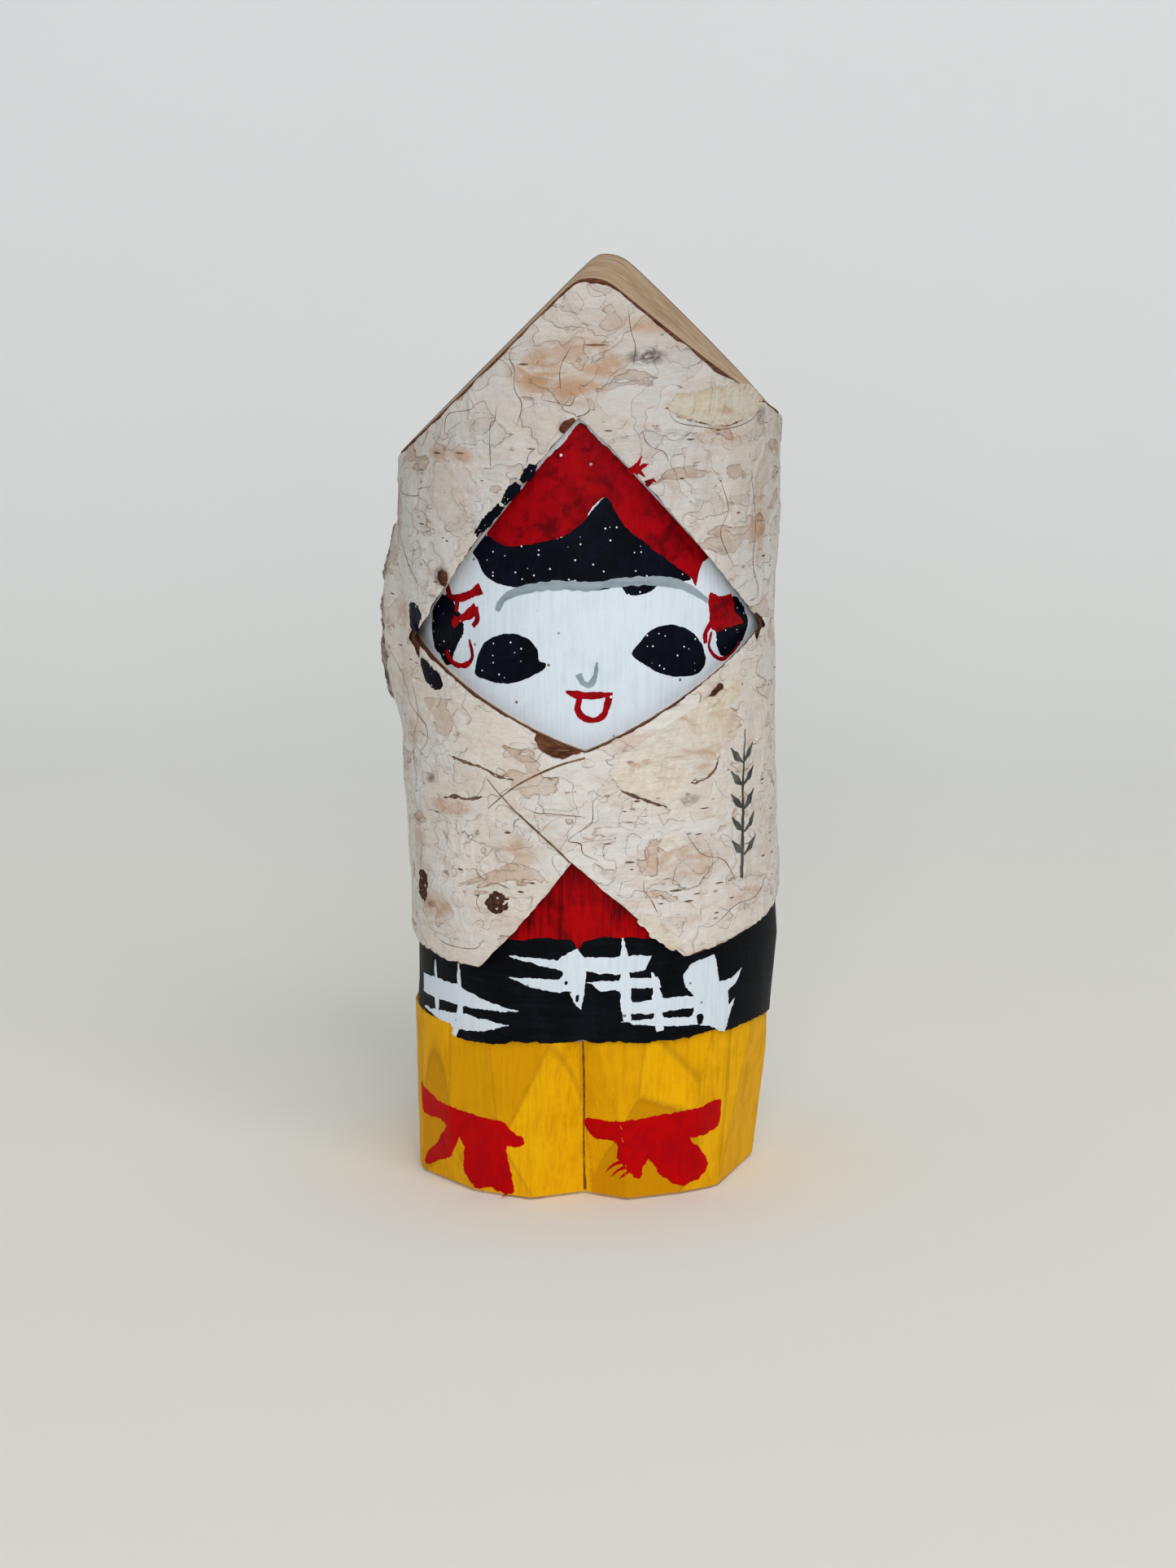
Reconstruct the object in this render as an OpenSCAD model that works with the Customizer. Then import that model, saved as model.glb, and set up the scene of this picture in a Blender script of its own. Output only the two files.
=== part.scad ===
// Log doll: a hooded child carved from one short log.
// The bark stays on as hood and cape. The face, the coat front, the skirt and
// the boots are cut down to the wood and painted.
// Up is +Z, the face looks along -Y, and the origin is the middle of the base.

/* [Log] */
// Height from the base to the ridge of the hood
height = 190; // [152:1:240]
// Diameter of the log over its bark
log_d = 80; // [64:1:104]
// Thickness of the papery outer bark
outer_bark_t = 0.9; // [0.6:0.1:1.6]
// Thickness of the brown inner bark
inner_bark_t = 2.1; // [1.2:0.1:3.4]

/* [Hood] */
// Slope of the roof cut on the -X side
roof_slope_left = 45; // [34:1:52]
// Slope of the roof cut on the +X side
roof_slope_right = 40; // [34:1:52]
// Sideways place of the ridge
ridge_x = 2; // [-6:0.5:6]
// Width of the blunt ridge
ridge_w = 5.5; // [1:0.5:10]
// Ridge down to the top corner of the face opening
hood_h = 27.3; // [20:0.1:34]

/* [Face opening] */
// How far round the log the -X corner reaches
face_reach_left = 63; // [50:1:75]
// How far round the log the +X corner reaches
face_reach_right = 67; // [50:1:75]
// Height of the -X corner over the bottom corner
cheek_left_h = 19.8; // [12:0.1:26]
// Height of the +X corner over the bottom corner
cheek_right_h = 22.8; // [12:0.1:26]
// How far each edge of the opening bows out
edge_bow = 1.7; // [0:0.1:3]
// How far the face is carved below the inner bark
face_depth = 0.8; // [0.3:0.1:1.5]
// Gap between the face paint and the bark edge
face_gap = 0.4; // [0.2:0.1:1]

/* [Cape] */
// Height of the bark hem above the base, at the front
hem_h = 49.6; // [44:0.1:60]
// Rise of the hem towards the back
hem_tilt_back = 6.5; // [0:0.5:10]
// Rise of the hem towards +X
hem_tilt_side = 3.7; // [0:0.1:8]
// Height of the coat opening above the hem
coat_open_h = 22.7; // [16:0.1:28]
// Lean of the opening's -X edge from upright
coat_lean_left = 37; // [25:1:50]
// Lean of the opening's +X edge from upright
coat_lean_right = 48; // [25:1:55]
// Sideways place of the opening's top corner
coat_open_x = -1.8; // [-6:0.1:6]
// Bark left between the coat opening and the face opening
lapel_h = 22.6; // [16:0.1:30]
// Width of the knife cuts that draw the lapels
cut_w = 0.45; // [0.2:0.05:1]
// Depth of those cuts
cut_depth = 0.6; // [0.3:0.1:0.6]
// Bark left between each cut and the corner it springs from
cut_clear = 0.8; // [0.5:0.1:2]

/* [Branch swelling] */
// Direction of the swelling, counted from the front towards +X
swelling_angle = -106; // [-150:1:-95]
// How far the swelling stands out of the log
swelling_out = 5; // [2:0.1:7]
// Radius of the swelling, seen from above
swelling_r = 21; // [16:0.5:26]
// Length of the swelling along the log
swelling_len = 50; // [30:1:60]
// Height of its middle above the base
swelling_z = 116; // [100:1:124]

/* [Knots] */
// Diameter of the front knot
front_knot_d = 5.2; // [3:0.1:8]
// Diameter of the side knot
side_knot_d = 6; // [3:0.1:8]
// Height of the knots above the hem
knot_rise = 13.6; // [10:0.1:18]

/* [Boots] */
// Height of the painted boots
boots_h = 34.5; // [28:0.5:40]
// How far the groove between the boots is cut in at the base
groove_depth = 9.3; // [4:0.1:12]
// How far the groove is cut in at the top of the boots
groove_top_depth = 2.5; // [1:0.1:6]
// Half the opening angle of the groove
groove_half_angle = 62; // [40:1:70]

/* [Paint] */
// Thickness of one coat of paint
paint_t = 0.25; // [0.15:0.05:0.5]
// How far the red of the coat reaches below its top corner
coat_red_h = 17.5; // [10:0.5:24]
// Gap between the boots' paint and the ground
sole_gap = 0.6; // [0.3:0.1:2]

/* [Hidden] */
$fn = 96;

log_r = log_d / 2;
inner_bark_r = log_r - outer_bark_t;
wood_r = inner_bark_r - inner_bark_t;
face_r = wood_r - face_depth;
reach = log_d;                                // longer than any cut needs
coat_top_z = hem_h + coat_open_h;
face_bottom_z = coat_top_z + lapel_h;
face_h = height - hood_h - face_bottom_z;
face_half_w = log_r * (sin(face_reach_left) + sin(face_reach_right)) / 2;
face_left = [-log_r * sin(face_reach_left), face_bottom_z + cheek_left_h];
face_right = [log_r * sin(face_reach_right), face_bottom_z + cheek_right_h];
face_top = [-0.2, face_bottom_z + face_h];
face_bottom = [0.8, face_bottom_z];
coat_top = [coat_open_x, coat_top_z];
coat_drop = coat_open_h + 6;                  // the opening's edges run on a little below the hem
cut_end_x = -log_r / 2;
skirt_h = hem_h - boots_h;
brush = face_h / 68;                          // strokes on the face grow and shrink with it
joint_swell = 0.08;                           // keeps round joints off the strokes' edges

// Chisel facets of the boots: direction from the front, then how far each
// lies inside the wood's radius at the base and at the top of the boots
BOOT_FACETS = [
    [-144, 0.6, 0.2], [-110, 0.7, 0.3], [-78, 0.6, 0.4], [-56, 0.1, 0.1],
    [-34, 0.2, 0.1], [30, 1.1, 0.1], [52, 2.5, 0.2], [75, 5.1, 0.2],
    [105, 3.0, 0.2], [142, 1.2, 0.2], [180, 0.6, 0.2]
];

// A point on the face: u runs from -1 to 1 across, v from 0 to 1 up
cheek_h = (cheek_left_h + cheek_right_h) / 2;
cheek_v = 0.31416;                            // share of the drawing that lies below the corners
function face_up(v) =
    v < cheek_v ? v / cheek_v * cheek_h
    : cheek_h + (v - cheek_v) / (1 - cheek_v) * (face_h - cheek_h);
function face_pt(u, v) = [u * face_half_w, face_bottom_z + face_up(v)];
// A point on the skirt: u is a share of the log's radius, v runs from 0 to 1 up
function skirt_pt(u, v) = [u * wood_r, boots_h + v * skirt_h];
// A point on the boots, in the same way
function boot_pt(u, v) = [u * wood_r, v * boots_h];
function face_pts(list) = [for (p = list) face_pt(p.x, p.y)];
function boot_pts(list) = [for (p = list) boot_pt(p.x, p.y)];

// Points from p up to q, not counting q, that bow out to the right of the way
function bowed(p, q, steps = 6) =
    let (way = q - p, side = [way.y, -way.x] / norm(way))
    [for (i = [0 : steps - 1]) let (t = i / steps)
        p + way * t + side * edge_bow * 4 * t * (1 - t)];

// Carry a flat drawing of X and Z through the front of the log
module through_front() {
    rotate([90, 0, 0]) linear_extrude(height = reach) children();
}

// A sleeve round the log's axis, from the base to above the ridge
module sleeve(r_in, r_out) {
    difference() {
        cylinder(r = r_out, h = height + 1);
        translate([0, 0, -1]) cylinder(r = r_in, h = height + 3);
    }
}

// A thin coat that follows the log, cut to a flat drawing
module coat(r, t = paint_t) {
    intersection() {
        sleeve(r, r + t);
        through_front() children();
    }
}

// One straight stroke of a brush or a knife, from p to q
module stroke(p, q, w0, w1) {
    side = [p.y - q.y, q.x - p.x] / norm(q - p) / 2;
    polygon([p + side * w0, p - side * w0, q - side * w1, q + side * w1]);
}

// A line of strokes through a list of points, with round joints
module line(points, w) {
    for (i = [0 : len(points) - 2]) stroke(points[i], points[i + 1], w, w);
    for (i = [1 : len(points) - 2]) translate(points[i]) circle(d = w + joint_swell);
}

// Everything under the two roof cuts and the blunt ridge
module under_roof() {
    left = ridge_x - ridge_w / 2;
    right = ridge_x + ridge_w / 2;
    rotate([90, 0, 0])
        linear_extrude(height = 2 * reach, center = true)
            polygon([
                [left - reach, -1],
                [right + reach, -1],
                [right + reach, height - reach * tan(roof_slope_right)],
                [right, height],
                [left, height],
                [left - reach, height - reach * tan(roof_slope_left)]
            ]);
}

module face_outline() {
    polygon(concat(
        bowed(face_bottom, face_right),
        bowed(face_right, face_top),
        bowed(face_top, face_left),
        bowed(face_left, face_bottom)
    ));
}

module coat_outline() {
    polygon([
        coat_top,
        coat_top + coat_drop * [-tan(coat_lean_left), -1],
        coat_top + coat_drop * [tan(coat_lean_right), -1]
    ]);
}

// All the space above the hem's tilted plane
module above_hem() {
    translate([0, -log_r, hem_h])
        rotate([hem_tilt_back, -hem_tilt_side, 0])
            translate([-2 * reach, -reach, 0])
                cube([4 * reach, 4 * reach, 2 * height]);
}

// Where bark is left on: above the hem, outside both openings
module bark_space() {
    difference() {
        above_hem();
        through_front() face_outline();
        through_front() coat_outline();
    }
}

// The branch swelling, thicker by grow all over
module swelling(grow) {
    out_r = swelling_r + grow;
    side_r = (pow(swelling_len / 2, 2) + pow(swelling_out, 2)) / (2 * swelling_out);
    rotate([0, 0, swelling_angle])
        translate([0, -(wood_r + swelling_out - swelling_r), swelling_z])
            rotate_extrude()
                intersection() {
                    translate([out_r - side_r, 0]) circle(r = side_r);
                    translate([0, -swelling_len / 2]) square([out_r + 1, swelling_len]);
                }
}

module knot_place(angle) {
    rotate([0, 0, angle]) translate([0, 0, hem_h + knot_rise]) rotate([90, 0, 0]) children();
}

module knots() {
    knot_place(-26) cylinder(d = front_knot_d, h = reach);
    knot_place(-62) cylinder(d = side_knot_d, h = reach);
}

// The chiselled boots, thicker by grow all over
module boots_form(grow) {
    slack = (groove_depth - groove_top_depth) / boots_h;
    half_w = reach * tan(groove_half_angle);
    tip = wood_r - groove_depth + grow / sin(groove_half_angle);
    difference() {
        cylinder(r = wood_r + grow, h = boots_h);
        for (f = BOOT_FACETS)
            rotate([0, 0, f[0]])
                translate([0, -(wood_r - f[1] + grow), 0])
                    rotate([atan((f[1] - f[2]) / boots_h), 0, 0])
                        translate([-reach / 2, -reach, -1])
                            cube([reach, reach, boots_h + 3]);
        translate([0, -tip, 0])
            rotate([atan(slack), 0, 0])
                translate([0, 0, -reach / 2])
                    linear_extrude(height = 2 * reach)
                        polygon([[0, 0], [-half_w, -reach], [half_w, -reach]]);
    }
}

// One coat of paint on the boots, the first or a later one
module boots_coat(layer) {
    difference() {
        boots_form((layer + 1) * paint_t);
        boots_form(layer * paint_t);
        translate([-reach, -reach, -1]) cube([2 * reach, 2 * reach, sole_gap + 1]);
    }
}

module log_body(grow) {
    translate([0, 0, boots_h]) cylinder(r = wood_r + grow, h = height - boots_h + 1);
    swelling(grow);
}

module carved_log() {
    color("burlywood")
        difference() {
            intersection() {
                union() {
                    log_body(0);
                    boots_form(0);
                }
                under_roof();
            }
            coat(face_r, reach) face_outline();
        }
}

module inner_bark() {
    color("saddlebrown")
        difference() {
            intersection() {
                log_body(inner_bark_t);
                bark_space();
                under_roof();
            }
            log_body(0);
            knots();
        }
}

module outer_bark() {
    color("antiquewhite")
        difference() {
            intersection() {
                sleeve(inner_bark_r, log_r);
                bark_space();
                under_roof();
            }
            swelling(inner_bark_t);
            knots();
            lapel_cuts();
        }
}

// The two crossing knife cuts where one lapel lies over the other
module lapel_cuts() {
    face_end = [cut_end_x, face_bottom_z - lapel_h / 2];
    coat_end = [cut_end_x, coat_top_z + 0.7 * lapel_h];
    coat(log_r - cut_depth, reach)
        for (cut = [[face_bottom, face_end], [coat_top, coat_end]]) {
            way = (cut[1] - cut[0]) / norm(cut[1] - cut[0]);
            stroke(cut[0] + cut_clear * way, cut[1], cut_w, cut_w / 2);
        }
}

// Rough bark over the swelling, where it stands out of the sleeve
module swelling_bark() {
    color("dimgray")
        difference() {
            swelling(inner_bark_t + outer_bark_t);
            swelling(inner_bark_t);
            translate([0, 0, -1]) cylinder(r = log_r, h = height + 2);
        }
}

module bark_knots() {
    color("maroon")
        intersection() {
            sleeve(wood_r, log_r);
            knots();
        }
}

// The face paint's own outline, a small gap inside the opening
module face_paint_outline() {
    shrink_x = (face_half_w - 2 * face_gap) / face_half_w;
    shrink_z = (face_h / 2 - 2 * face_gap) / (face_h / 2);
    middle = face_bottom_z + face_h / 2;
    points = concat(
        bowed(face_bottom, face_right),
        bowed(face_right, face_top),
        bowed(face_top, face_left),
        bowed(face_left, face_bottom)
    );
    polygon([for (p = points) [p.x * shrink_x, middle + (p.y - middle) * shrink_z]]);
}

// A second coat on the face, kept inside the white
module face_coat() {
    intersection() {
        coat(face_r + paint_t) children();
        through_front() face_paint_outline();
    }
}

module face_white() {
    color("whitesmoke") coat(face_r) face_paint_outline();
}

module scarf_outline() {
    polygon(face_pts([
        [0, 1], [0.8, 0.55], [0.62, 0.49], [0.43, 0.58], [0.14, 0.76],
        [-0.1, 0.64], [-0.4, 0.61], [-0.56, 0.65], [-0.45, 0.8]
    ]));
}

module hair_outline() {
    polygon(face_pts([
        [-0.75, 0.56], [-0.52, 0.7], [0.14, 0.78], [0.5, 0.6], [0.6, 0.51],
        [0.26, 0.51], [-0.1, 0.49], [-0.47, 0.49], [-0.56, 0.54]
    ]));
}

module brow_outline() {
    line(face_pts([
        [-0.48, 0.41], [-0.42, 0.45], [-0.25, 0.485], [0.05, 0.5], [0.34, 0.505],
        [0.58, 0.47], [0.68, 0.43]
    ]), 1.4 * brush);
}

module scarf_red() {
    color("crimson")
        face_coat()
            difference() {
                scarf_outline();
                brow_outline();
            }
}

module hair_black() {
    color("midnightblue")
        face_coat()
            difference() {
                hair_outline();
                scarf_outline();
                brow_outline();
            }
}

module brow_line() {
    color("slategray") face_coat() brow_outline();
}

module eye_left() {
    color("midnightblue")
        face_coat()
            polygon(face_pts([
                [-0.6, 0.22], [-0.58, 0.28], [-0.5, 0.33], [-0.42, 0.345], [-0.32, 0.335],
                [-0.25, 0.3], [-0.2, 0.26], [-0.24, 0.225], [-0.35, 0.2], [-0.47, 0.19]
            ]));
}

module eye_right() {
    color("midnightblue")
        face_coat()
            polygon(face_pts([
                [0.28, 0.29], [0.33, 0.34], [0.4, 0.365], [0.49, 0.37], [0.6, 0.345],
                [0.67, 0.29], [0.67, 0.24], [0.61, 0.21], [0.5, 0.215], [0.37, 0.25]
            ]));
}

module nose_line() {
    color("slategray")
        face_coat()
            line(face_pts([[-0.02, 0.235], [0.02, 0.21], [0.06, 0.215], [0.08, 0.26]]), 0.8 * brush);
}

module mouth_line() {
    color("crimson")
        face_coat() {
            line(face_pts([
                [-0.08, 0.183], [0.0, 0.168], [-0.02, 0.13], [0.03, 0.095], [0.1, 0.1],
                [0.14, 0.14], [0.15, 0.165], [0.16, 0.17]
            ]), 1.3 * brush);
            line(face_pts([[-0.08, 0.183], [0.04, 0.17], [0.16, 0.17]]), 1.1 * brush);
        }
}

module ribbon_left_outline() {
    line(face_pts([[-0.8, 0.46], [-0.68, 0.45], [-0.55, 0.475]]), 2 * brush);
    line(face_pts([[-0.72, 0.36], [-0.65, 0.375], [-0.57, 0.41]]), 2 * brush);
    line(face_pts([[-0.67, 0.45], [-0.66, 0.42], [-0.66, 0.37]]), 1.4 * brush);
    line(face_pts([
        [-0.66, 0.36], [-0.74, 0.33], [-0.76, 0.28], [-0.71, 0.24], [-0.65, 0.25], [-0.63, 0.29]
    ]), 1.2 * brush);
}

module ribbon_right_outline() {
    polygon(face_pts([[0.7, 0.46], [0.83, 0.44], [0.86, 0.37], [0.74, 0.38]]));
    line(face_pts([[0.8, 0.4], [0.86, 0.36], [0.9, 0.34]]), 1.4 * brush);
    line(face_pts([
        [0.72, 0.39], [0.67, 0.35], [0.7, 0.28], [0.77, 0.25], [0.83, 0.28], [0.84, 0.31]
    ]), 1.2 * brush);
}

module ribbon_left() {
    color("crimson") face_coat() ribbon_left_outline();
}

module ribbon_right() {
    color("crimson") face_coat() ribbon_right_outline();
}

module side_hair_left() {
    color("midnightblue")
        face_coat()
            difference() {
                polygon(face_pts([
                    [-0.84, 0.42], [-0.77, 0.44], [-0.68, 0.37], [-0.68, 0.33],
                    [-0.78, 0.23], [-0.88, 0.28]
                ]));
                ribbon_left_outline();
            }
}

module side_hair_right() {
    color("midnightblue")
        face_coat()
            difference() {
                polygon(face_pts([
                    [0.72, 0.36], [0.86, 0.42], [0.93, 0.34], [0.86, 0.27], [0.76, 0.26]
                ]));
                ribbon_right_outline();
            }
}

// Painted wood that the bark leaves bare, from the boots up to the hem and
// inside the coat opening
module bare_wood_coat(z_low, z_high) {
    difference() {
        sleeve(wood_r, wood_r + paint_t);
        bark_space();
        through_front() face_outline();
        translate([-reach, -reach, -1]) cube([2 * reach, 2 * reach, z_low + 1]);
        translate([-reach, -reach, z_high]) cube([2 * reach, 2 * reach, height]);
    }
}

module coat_red() {
    color("crimson")
        intersection() {
            bare_wood_coat(coat_top_z - coat_red_h, coat_top_z + 1);
            through_front() coat_outline();
        }
}

module skirt_black() {
    color("midnightblue")
        union() {
            bare_wood_coat(boots_h, coat_top_z - coat_red_h);
            difference() {
                bare_wood_coat(coat_top_z - coat_red_h, coat_top_z + 1);
                through_front() coat_outline();
            }
        }
}

// The white cross-hatch, kept on the bare black
module skirt_pattern() {
    grid = [
        // across: start, end, width at each end
        [[-0.96, 0.52], [-0.4, 0.38], 3.2, 1.0], [[-0.94, 0.26], [-0.46, 0.16], 1.2, 1.6],
        [[-0.4, 0.98], [-0.04, 0.94], 1.4, 2.2], [[-0.4, 0.74], [-0.08, 0.68], 1.2, 1.8],
        [[0.02, 0.98], [0.36, 1.0], 1.6, 2.6], [[0.02, 0.72], [0.4, 0.74], 1.4, 2.2],
        [[0.24, 0.46], [0.76, 0.5], 1.4, 2.2], [[0.2, 0.2], [0.74, 0.14], 1.2, 2.0],
        // upright
        [[-0.84, 0.72], [-0.84, 0.22], 1.4, 1.8], [[-0.66, 0.8], [-0.7, 0.06], 1.8, 1.4],
        [[-0.02, 1.2], [-0.01, 0.4], 2.6, 1.4], [[0.24, 1.3], [0.26, 0.4], 1.6, 2.4],
        [[0.4, 0.8], [0.42, 0.06], 1.4, 2.2], [[0.6, 1.0], [0.72, 0.06], 2.4, 3.4]
    ];
    color("white")
        difference() {
            coat(wood_r + paint_t)
                for (s = grid)
                    stroke(skirt_pt(s[0].x, s[0].y), skirt_pt(s[1].x, s[1].y), s[2], s[3]);
            bark_space();
        }
}

module boots_yellow() {
    color("goldenrod") boots_coat(0);
}

// A painted bow: a band across and two tails that spread downwards
module painted_bow(band, tail_a, tail_b) {
    color("firebrick")
        intersection() {
            boots_coat(1);
            through_front() {
                polygon(boot_pts(band));
                polygon(boot_pts(tail_a));
                polygon(boot_pts(tail_b));
            }
        }
}

module bow_left() {
    painted_bow(
        [[-0.92, 0.5], [-0.43, 0.5], [-0.3, 0.4], [-0.32, 0.33], [-0.7, 0.42], [-0.9, 0.36]],
        [[-0.68, 0.42], [-0.56, 0.42], [-0.78, 0.08], [-0.9, 0.05], [-0.86, 0.18]],
        [[-0.62, 0.42], [-0.44, 0.4], [-0.36, 0.06], [-0.56, 0.03], [-0.62, 0.2]]
    );
}

module bow_right() {
    painted_bow(
        [[0.03, 0.51], [0.8, 0.49], [0.76, 0.36], [0.2, 0.4], [0.04, 0.43]],
        [[0.24, 0.42], [0.46, 0.4], [0.3, 0.14], [0.16, 0.26]],
        [[0.34, 0.42], [0.56, 0.4], [0.72, 0.12], [0.6, 0.06], [0.44, 0.1]]
    );
}

// A plain ink sprig on the +X lapel: one stem and paired leaves
module ink_sprig() {
    stem_low = coat_top_z - 7;
    stem_high = face_bottom_z + 3;
    stem_step = (stem_high - stem_low) / 6;
    color("darkslategray")
        rotate([0, 0, 56])
            coat(log_r) {
                stroke([0, stem_low], [1.5, stem_high], 1.2, 0.7);
                for (i = [1 : 5])
                    for (s = [-1, 1])
                        stroke(
                            [0.25 * i, stem_low + i * stem_step],
                            [0.25 * i + 4.5 * s, stem_low + i * stem_step + 3.5],
                            0.5, 1.5
                        );
            }
}

// Paint that ran over the edge of the opening onto the bark
module overrun(points, w) {
    difference() {
        coat(log_r) line(points, w);
        through_front() face_outline();
    }
}

module overrun_black() {
    color("midnightblue") {
        overrun([for (t = [0.34, 0.48, 0.62, 0.76]) face_top + t * (face_left - face_top) + [-1.4, 1]], 2.4);
        overrun([face_left + [0.5, 5], face_left + [-0.4, 2], face_left + [1.5, -2]], 1.6);
        overrun([face_left + [2, -4], face_left + [4.5, -6.5], face_left + [8, -8]], 1.8);
    }
}

module overrun_red() {
    color("crimson")
        overrun([for (t = [0.22, 0.27, 0.32]) face_top + t * (face_right - face_top) + [1.6, 1]], 1.8);
}

carved_log();
inner_bark();
outer_bark();
swelling_bark();
bark_knots();
face_white();
scarf_red();
hair_black();
side_hair_left();
side_hair_right();
ribbon_left();
ribbon_right();
brow_line();
eye_left();
eye_right();
nose_line();
mouth_line();
coat_red();
skirt_black();
skirt_pattern();
boots_yellow();
bow_left();
bow_right();
ink_sprig();
overrun_black();
overrun_red();
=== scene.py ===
"""Looks of the log doll: a hooded child carved from one short log, with bark left on as hood and cape.

Flat drawings are in millimetres: the distance round the log from its front, counted towards +X,
and the height above the base. They are wrapped round the log at the radius of their own layer.
"""

import logging
import math
import random
from dataclasses import dataclass
from enum import Enum
from typing import Callable, Iterable, Optional, Sequence

import bmesh
import bpy
import numpy as np
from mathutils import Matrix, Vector, kdtree, noise
from mathutils.bvhtree import BVHTree
from mathutils.geometry import delaunay_2d_cdt


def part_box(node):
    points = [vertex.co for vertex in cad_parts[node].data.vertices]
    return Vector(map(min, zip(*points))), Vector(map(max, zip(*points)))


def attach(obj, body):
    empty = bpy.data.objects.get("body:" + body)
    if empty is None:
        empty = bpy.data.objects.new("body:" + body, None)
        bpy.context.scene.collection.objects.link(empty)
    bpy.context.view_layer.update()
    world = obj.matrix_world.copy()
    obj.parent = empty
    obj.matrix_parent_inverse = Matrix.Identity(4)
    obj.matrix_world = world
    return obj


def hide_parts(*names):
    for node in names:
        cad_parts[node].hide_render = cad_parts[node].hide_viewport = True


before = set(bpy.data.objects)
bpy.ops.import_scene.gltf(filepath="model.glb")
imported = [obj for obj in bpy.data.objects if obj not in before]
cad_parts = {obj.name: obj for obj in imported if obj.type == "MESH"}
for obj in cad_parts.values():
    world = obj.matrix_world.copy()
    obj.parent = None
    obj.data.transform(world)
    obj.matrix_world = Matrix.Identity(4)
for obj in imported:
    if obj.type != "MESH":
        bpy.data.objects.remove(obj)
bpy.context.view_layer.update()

MM = 0.001
BODY = "root"
LOG = logging.getLogger("log_doll")
UPWARD = 0.5
ROOF_FROM = 0.14
ROW_STEP = 0.866
FAR = 1e3
RAY_FROM = 0.08
RAY_LENGTH = 0.06

Point = tuple[float, float]
Path = Sequence[Point]
Radius = Callable[[np.ndarray, np.ndarray], np.ndarray]
Rgb = tuple[int, int, int]
Size = tuple[float, float, float]


# ---------------------------------------------------------------- drawing


def smooth(points: Path, closed: bool = True, per_span: int = 6) -> np.ndarray:
    """A smooth curve through given points.

    Args:
        points: The points in order.
        closed: Whether the last point joins the first.
        per_span: Points made for each span.

    Returns:
        The curve as N x 2 millimetres.
    """
    p = np.asarray(points, float)
    count = len(p)
    spans = count if closed else count - 1
    shares = np.arange(per_span)[:, None] / per_span
    parts = []
    for i in range(spans):
        start, end = p[i], p[(i + 1) % count]
        before = p[i - 1] if closed or i > 0 else 2 * start - end
        after = p[(i + 2) % count] if closed or i + 2 < count else 2 * end - start
        bend = 2 * before - 5 * start + 4 * end - after
        cubic = 3 * start - before - 3 * end + after
        parts.append(
            0.5 * (2 * start + (end - before) * shares + bend * shares**2 + cubic * shares**3)
        )
    if not closed:
        parts.append(p[-1:])
    return np.vstack(parts)


def even(path: np.ndarray, step: float, closed: bool = True) -> np.ndarray:
    """The same path with evenly spaced points.

    Args:
        path: The path.
        step: Distance between points.
        closed: Whether the last point joins the first.

    Returns:
        The new path.
    """
    p = np.vstack([path, path[:1]]) if closed else np.asarray(path, float)
    run = np.concatenate([[0.0], np.cumsum(np.linalg.norm(np.diff(p, axis=0), axis=1))])
    count = max(4, int(round(run[-1] / step)))
    at = np.linspace(0.0, run[-1], count, endpoint=not closed)
    return np.column_stack([np.interp(at, run, p[:, 0]), np.interp(at, run, p[:, 1])])


def turned_left(loop: np.ndarray) -> np.ndarray:
    """The loop running counter-clockwise."""
    x, y = loop[:, 0], loop[:, 1]
    area = np.sum(x * np.roll(y, -1) - np.roll(x, -1) * y)
    return loop if area > 0 else loop[::-1]


def sideways(path: np.ndarray, closed: bool) -> np.ndarray:
    """Unit vectors to the right of the path's way."""
    if closed:
        way = np.roll(path, -1, axis=0) - np.roll(path, 1, axis=0)
    else:
        way = np.gradient(path, axis=0)
    length = np.maximum(np.linalg.norm(way, axis=1), 1e-9)[:, None]
    return np.column_stack([way[:, 1], -way[:, 0]]) / length


def ragged(path: np.ndarray, amount: float, grain: float, seed: float, closed: bool = True) -> np.ndarray:
    """The path with an uneven edge.

    Args:
        path: The path.
        amount: How far the edge wanders.
        grain: Length of one wander.
        seed: Picks the pattern.
        closed: Whether the path is a loop.

    Returns:
        The uneven path.
    """
    push = [noise.fractal(Vector((x / grain, y / grain, seed)), 0.7, 2.1, 3) for x, y in path]
    return path + sideways(path, closed) * np.array(push)[:, None] * amount


def brush_line(points: Path, widths: Sequence[float], step: float = 0.5, seed: float = 0.0) -> np.ndarray:
    """The outline of one brush or pen line.

    Args:
        points: The line's middle.
        widths: Widths, spread evenly from start to end.
        step: Distance between outline points.
        seed: Picks the unevenness.

    Returns:
        A closed outline.
    """
    middle = even(smooth(points, closed=False), step, closed=False)
    share = np.linspace(0, 1, len(middle))
    half = np.interp(share, np.linspace(0, 1, len(widths)), widths) / 2
    wander = [noise.noise(Vector((x * 0.6, y * 0.6, seed + 7.3))) for x, y in middle]
    half = half * (1 + 0.35 * np.array(wander))
    side = sideways(middle, closed=False)
    return np.vstack([middle + side * half[:, None], (middle - side * half[:, None])[::-1]])


def covered(points: np.ndarray, loop: np.ndarray) -> np.ndarray:
    """Which points lie inside a loop."""
    x, y = points[:, 0], points[:, 1]
    hit = np.zeros(len(points), bool)
    for (x0, y0), (x1, y1) in zip(loop, np.roll(loop, -1, axis=0)):
        if y0 != y1:
            crosses = (y0 > y) != (y1 > y)
            hit ^= crosses & (x < (x1 - x0) * (y - y0) / (y1 - y0) + x0)
    return hit


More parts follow.
